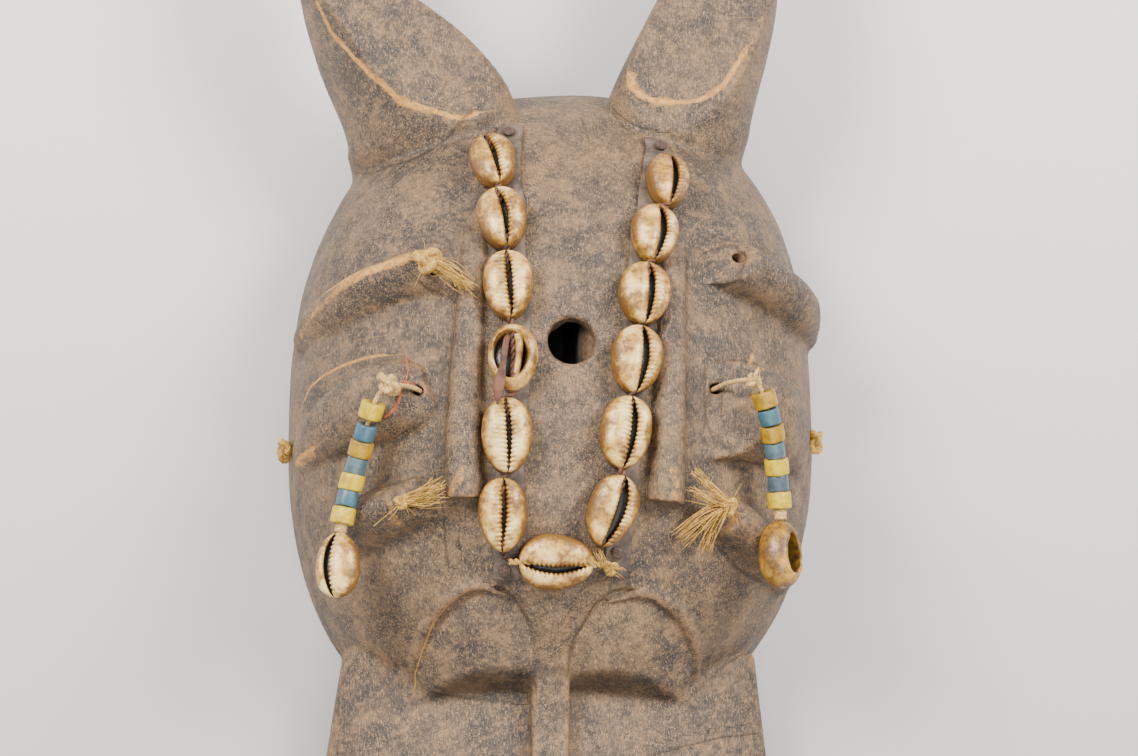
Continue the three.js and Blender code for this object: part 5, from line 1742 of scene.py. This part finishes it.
def wrap_line(radius, length, turns, count=120):
    t = np.linspace(0, 2 * math.pi * turns, count)
    return np.column_stack([radius * np.cos(t), length * (t / t[-1] - 0.5), radius * np.sin(t)])


def fibre(stops, luck, radius, bend, sides=4, count=14):
    """One loose fibre that leaves a row of stops a little"""
    stops = np.array(stops, dtype=float)
    grow = np.linspace(0, 1, len(stops))[:, None]
    drift = np.array([luck.gauss(0, 1) for _ in range(3)])
    sway = np.array([luck.gauss(0, 1) for _ in range(3)])
    stops = stops + bend * (grow * drift + np.sin(grow * math.pi) * sway * 0.5)
    line = spline(stops, count)
    return tube(line, np.linspace(radius, radius * 0.55, count), sides)


KNOTS = {
    "left": {"radii": (2.6, 2.6, 1.2), "strand": 1.05, "tail": (-3.6, 3.4, 0.5), "tail_end": 1.5},
    "right": {"radii": (1.9, 1.9, 1.0), "strand": 0.75, "tail": (1.6, 4.0, 1.0), "tail_end": 0.5},
}
for side in PENDANTS:
    shape = KNOTS[side]
    place = on_cord(side, PENDANTS[side]["knot"])
    into_knot = place.inverted().to_3x3()
    tail = np.array(into_knot @ Vector(shape["tail"]))
    tail_sizes = np.interp(np.linspace(0, 1, 24), [0, 0.5, 0.75, 0.97, 1], [
        shape["strand"], shape["strand"], shape["tail_end"], shape["tail_end"] * 0.8, 0.2
    ])
    inner_radii = np.array(shape["radii"]) * 0.6
    knot = joined([
        tube(knot_line(shape["radii"]), shape["strand"], 10, ply=2, pitch=3.0),
        tube(knot_line(inner_radii, turn=1.0), shape["strand"] * 0.9, 10, ply=2, pitch=3.0),
        tube(spline([(0, 0, 0.6), tail * 0.5 + (0, 0, 0.8), tail], 24), tail_sizes, 10, ply=2, pitch=3.0),
    ])
    tied = make_piece(f"cord_knot_{side}", knot, cord_fibre, [f"pendant_knot_{side}"], place)
    wrap = tube(wrap_line(1.5, 2.6, 5.5), 0.42, 7)
    place = on_cord(side, PENDANTS[side]["wrap"])
    whipping = make_piece(f"whipping_{side}", wrap, cord_fibre, [f"pendant_wrap_{side}"], place)
    pendant_pieces[side] += [tied, whipping]


# %% Red thread by the left knot
def thread_above(stops, lift, radius, count):
    stops = np.array(stops, dtype=float)
    return tube(spline(stops + lift * face_normal(stops), count), radius, 8, ply=2, pitch=2.2)


red_loop = [
    (-44.3, -6.2, 70.7), (-46.6, -6, 74.1), (-48.7, -6.1, 74.5), (-48.9, -9.3, 73.7), (-50.6, -13.3, 72.3),
    (-53.5, -15.8, 70.8),
]
red_strand = [(-48.2, -6, 74.3), (-47.8, -5.4, 74.2), (-46.8, -1.6, 72.7), (-47.5, 3.8, 68.4)]
thread = joined([thread_above(red_loop, 1.0, 0.65, 60), thread_above(red_strand, 0.7, 0.35, 40)])
make_piece("red_thread_left", thread, red_fibre)

# %% Pendant shells
def hang_shell(side, skin_and_values, material, roll):
    last = line_lengths(cord_line(side))[-1] - 1
    slide = Matrix.Translation((0, last - PENDANTS[side]["cowrie"]["at"], 0))
    place = on_cord(side, last) @ slide @ Matrix.Rotation(math.radians(roll), 4, "Y")
    place = place @ Matrix.Translation((0, 0, -SHELL_WAIST))
    skin, values = skin_and_values
    node = f"pendant_cowrie_{side}"
    piece = make_piece(f"hanging_shell_{side}", skin, material, [node], place, values)
    pendant_pieces[side].append(piece)


left, right = PENDANTS["left"]["cowrie"], PENDANTS["right"]["cowrie"]
whole_shell = cowrie_skin(
    left["length"], left["width"], seed=501, gape=0.9, slot=(-0.1, -0.2, -0.1), teeth=(0.5, 1.8),
    aged=0.35, back="round", blunt=-1,
)
hang_shell("left", whole_shell, shell, roll=0)
hang_shell("right", broken_cowrie_skin(right["length"], right["width"]), brown_shell, roll=26)

# %% [markdown]
# ## Raffia tufts
#
# Raffia is the split skin of a palm leaf, dried to straw colour. Each tuft is a few strands pulled
# through a burnt hole, knotted hard against the wood and left to fray. The knot is two thick twisted
# loops, and the frayed end is dozens of separate fibres, each bent a little its own way.

# %% Tie the raffia
TUFTS = {
    "brow_left": {
        "knot": {"at": (-42.0, 31.4, 79.0), "radii": (4.8, 4.2, 2.3)},
        "start": (-41.5, 31.2, 79.6),
        "tails": [((-36, 28, 79.6), (-30.5, 23.5, 79.6), 1.6, 60)],
    },
    "cheek_left": {
        "knot": {"at": (-48.6, -42.8, 76.6), "radii": (2.7, 2.3, 1.4)},
        "start": (-48, -42.6, 77),
        "tails": [((-43.5, -41.6, 76.8), (-37.8, -38.8, 74.6), 1.9, 55)],
    },
    "cheek_right": {
        "knot": {"at": (49, -41.4, 73.2), "radii": (2.9, 3.2, 1.7)},
        "start": (48.5, -41.4, 73.6),
        "tails": [
            ((45, -38, 74.8), (39, -31, 75), 0.9, 20),
            ((44.5, -40.5, 75.4), (37.5, -37, 74.8), 1.2, 12),
            ((42.5, -44.5, 74.2), (35, -50.5, 71.2), 1.3, 34),
            ((45, -47, 73), (42, -53.5, 69), 1.2, 24),
        ],
    },
}


def tuft_skin(name, seed):
    """A knot with its tails, each with a middle stop, an end, a spread in mm and a count of fibres"""
    luck = random.Random(seed)
    shape = TUFTS[name]
    at = np.array(shape["knot"]["at"])
    foot = snap_to_face(np.array(SMALL_HOLES[name]))
    up = face_normal(foot)
    radii = np.array(shape["knot"]["radii"])
    strand = radii.mean() * 0.36
    parts = [
        tube(at + knot_line(radii * 0.75), strand, 10, ply=3, pitch=4.0),
        tube(at + knot_line(radii * 0.55, turn=1.6), strand * 0.9, 10, ply=3, pitch=4.0),
        tube(spline([foot - up * 8, foot, at - up * 1.0], 14), 1.1, 9, ply=3, pitch=4.0),
    ]
    for middle, end, spread, count in shape["tails"]:
        for _ in range(count):
            shift = np.array([luck.gauss(0, 0.8) for _ in range(3)])
            route = [np.array(shape["start"]) + shift, np.array(middle) + 0.9 * shift, end]
            parts.append(fibre(route, luck, luck.uniform(0.14, 0.27), spread))
    for _ in range(7):
        far = at + up * luck.uniform(0.5, 2.5) + np.array([luck.gauss(0, 4), luck.gauss(0, 4), 0])
        parts.append(fibre([at, (at + far) / 2 + up, far], luck, 0.12, 0.8))
    return joined(parts)


for number, name in enumerate(TUFTS):
    make_piece(f"raffia_{name}", tuft_skin(name, 60 + number), raffia, [f"raffia_tuft_{name}"])


def side_knot(side):
    foot = snap_to_face(np.array(SMALL_HOLES[f"side_{side}"]))
    up = face_normal(foot)
    ahead_on_face = unit(np.array([0, 1, 0]) - up * up[1])
    place = frame_from(np.cross(ahead_on_face, up), ahead_on_face, up, foot)
    parts = [
        tube(np.array([0, 0, 2.6]) + knot_line((2.4, 3.5, 1.2)), 1.0, 9, ply=3, pitch=4.0),
        tube(np.array([0, 0, 2.2]) + knot_line((1.6, 2.4, 0.9), turn=1.2), 1.0, 9, ply=3, pitch=4.0),
        tube(spline([(0, 0, -10), (0, 0, -4), (0, 0, 2)], 12), 1.1, 9, ply=3, pitch=4.0),
    ]
    make_piece(f"raffia_side_{side}", joined(parts), raffia, [f"side_knot_{side}"], place)


for side in ("left", "right"):
    side_knot(side)


def bottom_knot():
    luck = random.Random(91)
    place = seat((13.4, -58.6), SHELL_LIFT + 1.7)
    parts = [
        tube(knot_line((2.0, 1.8, 0.9)), 0.75, 9, ply=3, pitch=3.0),
        tube(knot_line((1.3, 1.3, 0.8), turn=1.4), 0.7, 9, ply=3, pitch=3.0),
    ]
    for _ in range(26):
        far = (luck.gauss(2.5, 2.2), luck.gauss(-0.5, 1.6), luck.uniform(-0.8, 0.8))
        route = [(0, 0, 0.4), (far[0] / 2, far[1] / 2, 1.2), far]
        parts.append(fibre(route, luck, luck.uniform(0.12, 0.22), 0.5))
    for _ in range(14):
        parts.append(fibre([(0, 0, 0.5), (-2.4, 1.4, 2.2), (-4.2, 4.6, 3.2)], luck, 0.2, 0.7))
    make_piece("raffia_tie_bottom", joined(parts), raffia, ["raffia_knot_bottom"], place)


bottom_knot()

for side in PENDANTS:
    line = to_part(cord_line(side))

# %% [markdown]
# ## Table and light
#
# The photograph has a plain pale backdrop and soft light from above the horns. Two large soft lamps
# stand there like windows, one on each side, and a weak one fills the lower face from in front. The
# world gives the even grey of a studio, and the floor's colour is painted a little darker below the
# chin, as painted shade where the light from above the horns falls off.


# %% Floor and lamps
FLOOR_REACH = 4.0
WINDOW_TINT = "#fffaf4"


def floor():
    material, tree, shader = start_material("pale studio floor", Roughness=0.9)
    where = place_on_object(tree)
    along = add(tree, "SeparateXYZ", {}, {"Vector": where}).outputs["Y"]
    # Painted shade: the floor's colour darkens towards the chin, as the light falls off
    fade = ramped(tree, along, -0.5, 0.5)
    tree.links.new(blended(tree, fade, "#8f8d8e", "#f4f3f4"), shader.inputs["Base Color"])
    corners = [(FLOOR_REACH * x, FLOOR_REACH * y, 0) for x, y in ((-1, -1), (1, -1), (1, 1), (-1, 1))]
    mesh = bpy.data.meshes.new("floor")
    mesh.from_pydata(corners, [], [(0, 1, 2, 3)])
    mesh.materials.append(material)
    new_object("floor", mesh)


def soft_lamp(name, spot, aim, size, watts):
    lamp = bpy.data.lights.new(name, "AREA")
    lamp.shape = "SQUARE"
    lamp.size = size
    lamp.energy = watts
    lamp.color = linear(WINDOW_TINT)[:3]
    holder = new_object(name, lamp)
    holder.location = spot
    holder.rotation_euler = (Vector(aim) - Vector(spot)).to_track_quat("-Z", "Y").to_euler()


floor()
soft_lamp("left window", (-0.85, 0.5, 1.15), (0, 0.02, 0.05), 0.6, 36.0)
soft_lamp("right window", (0.9, 0.45, 1.15), (0, 0.02, 0.05), 0.6, 33.0)
soft_lamp("low front card", (0.1, -0.75, 1.1), (0, -0.05, 0.05), 0.7, 10.0)
world = bpy.data.worlds.new("studio")
world.use_nodes = True
world.node_tree.nodes["Background"].inputs["Color"].default_value = linear("#eeeff1")
world.node_tree.nodes["Background"].inputs["Strength"].default_value = 0.64
bpy.context.scene.world = world

# %% [markdown]
# ## Finish
#
# The view layer is brought up to date.

# %% Finish
bpy.context.view_layer.update()
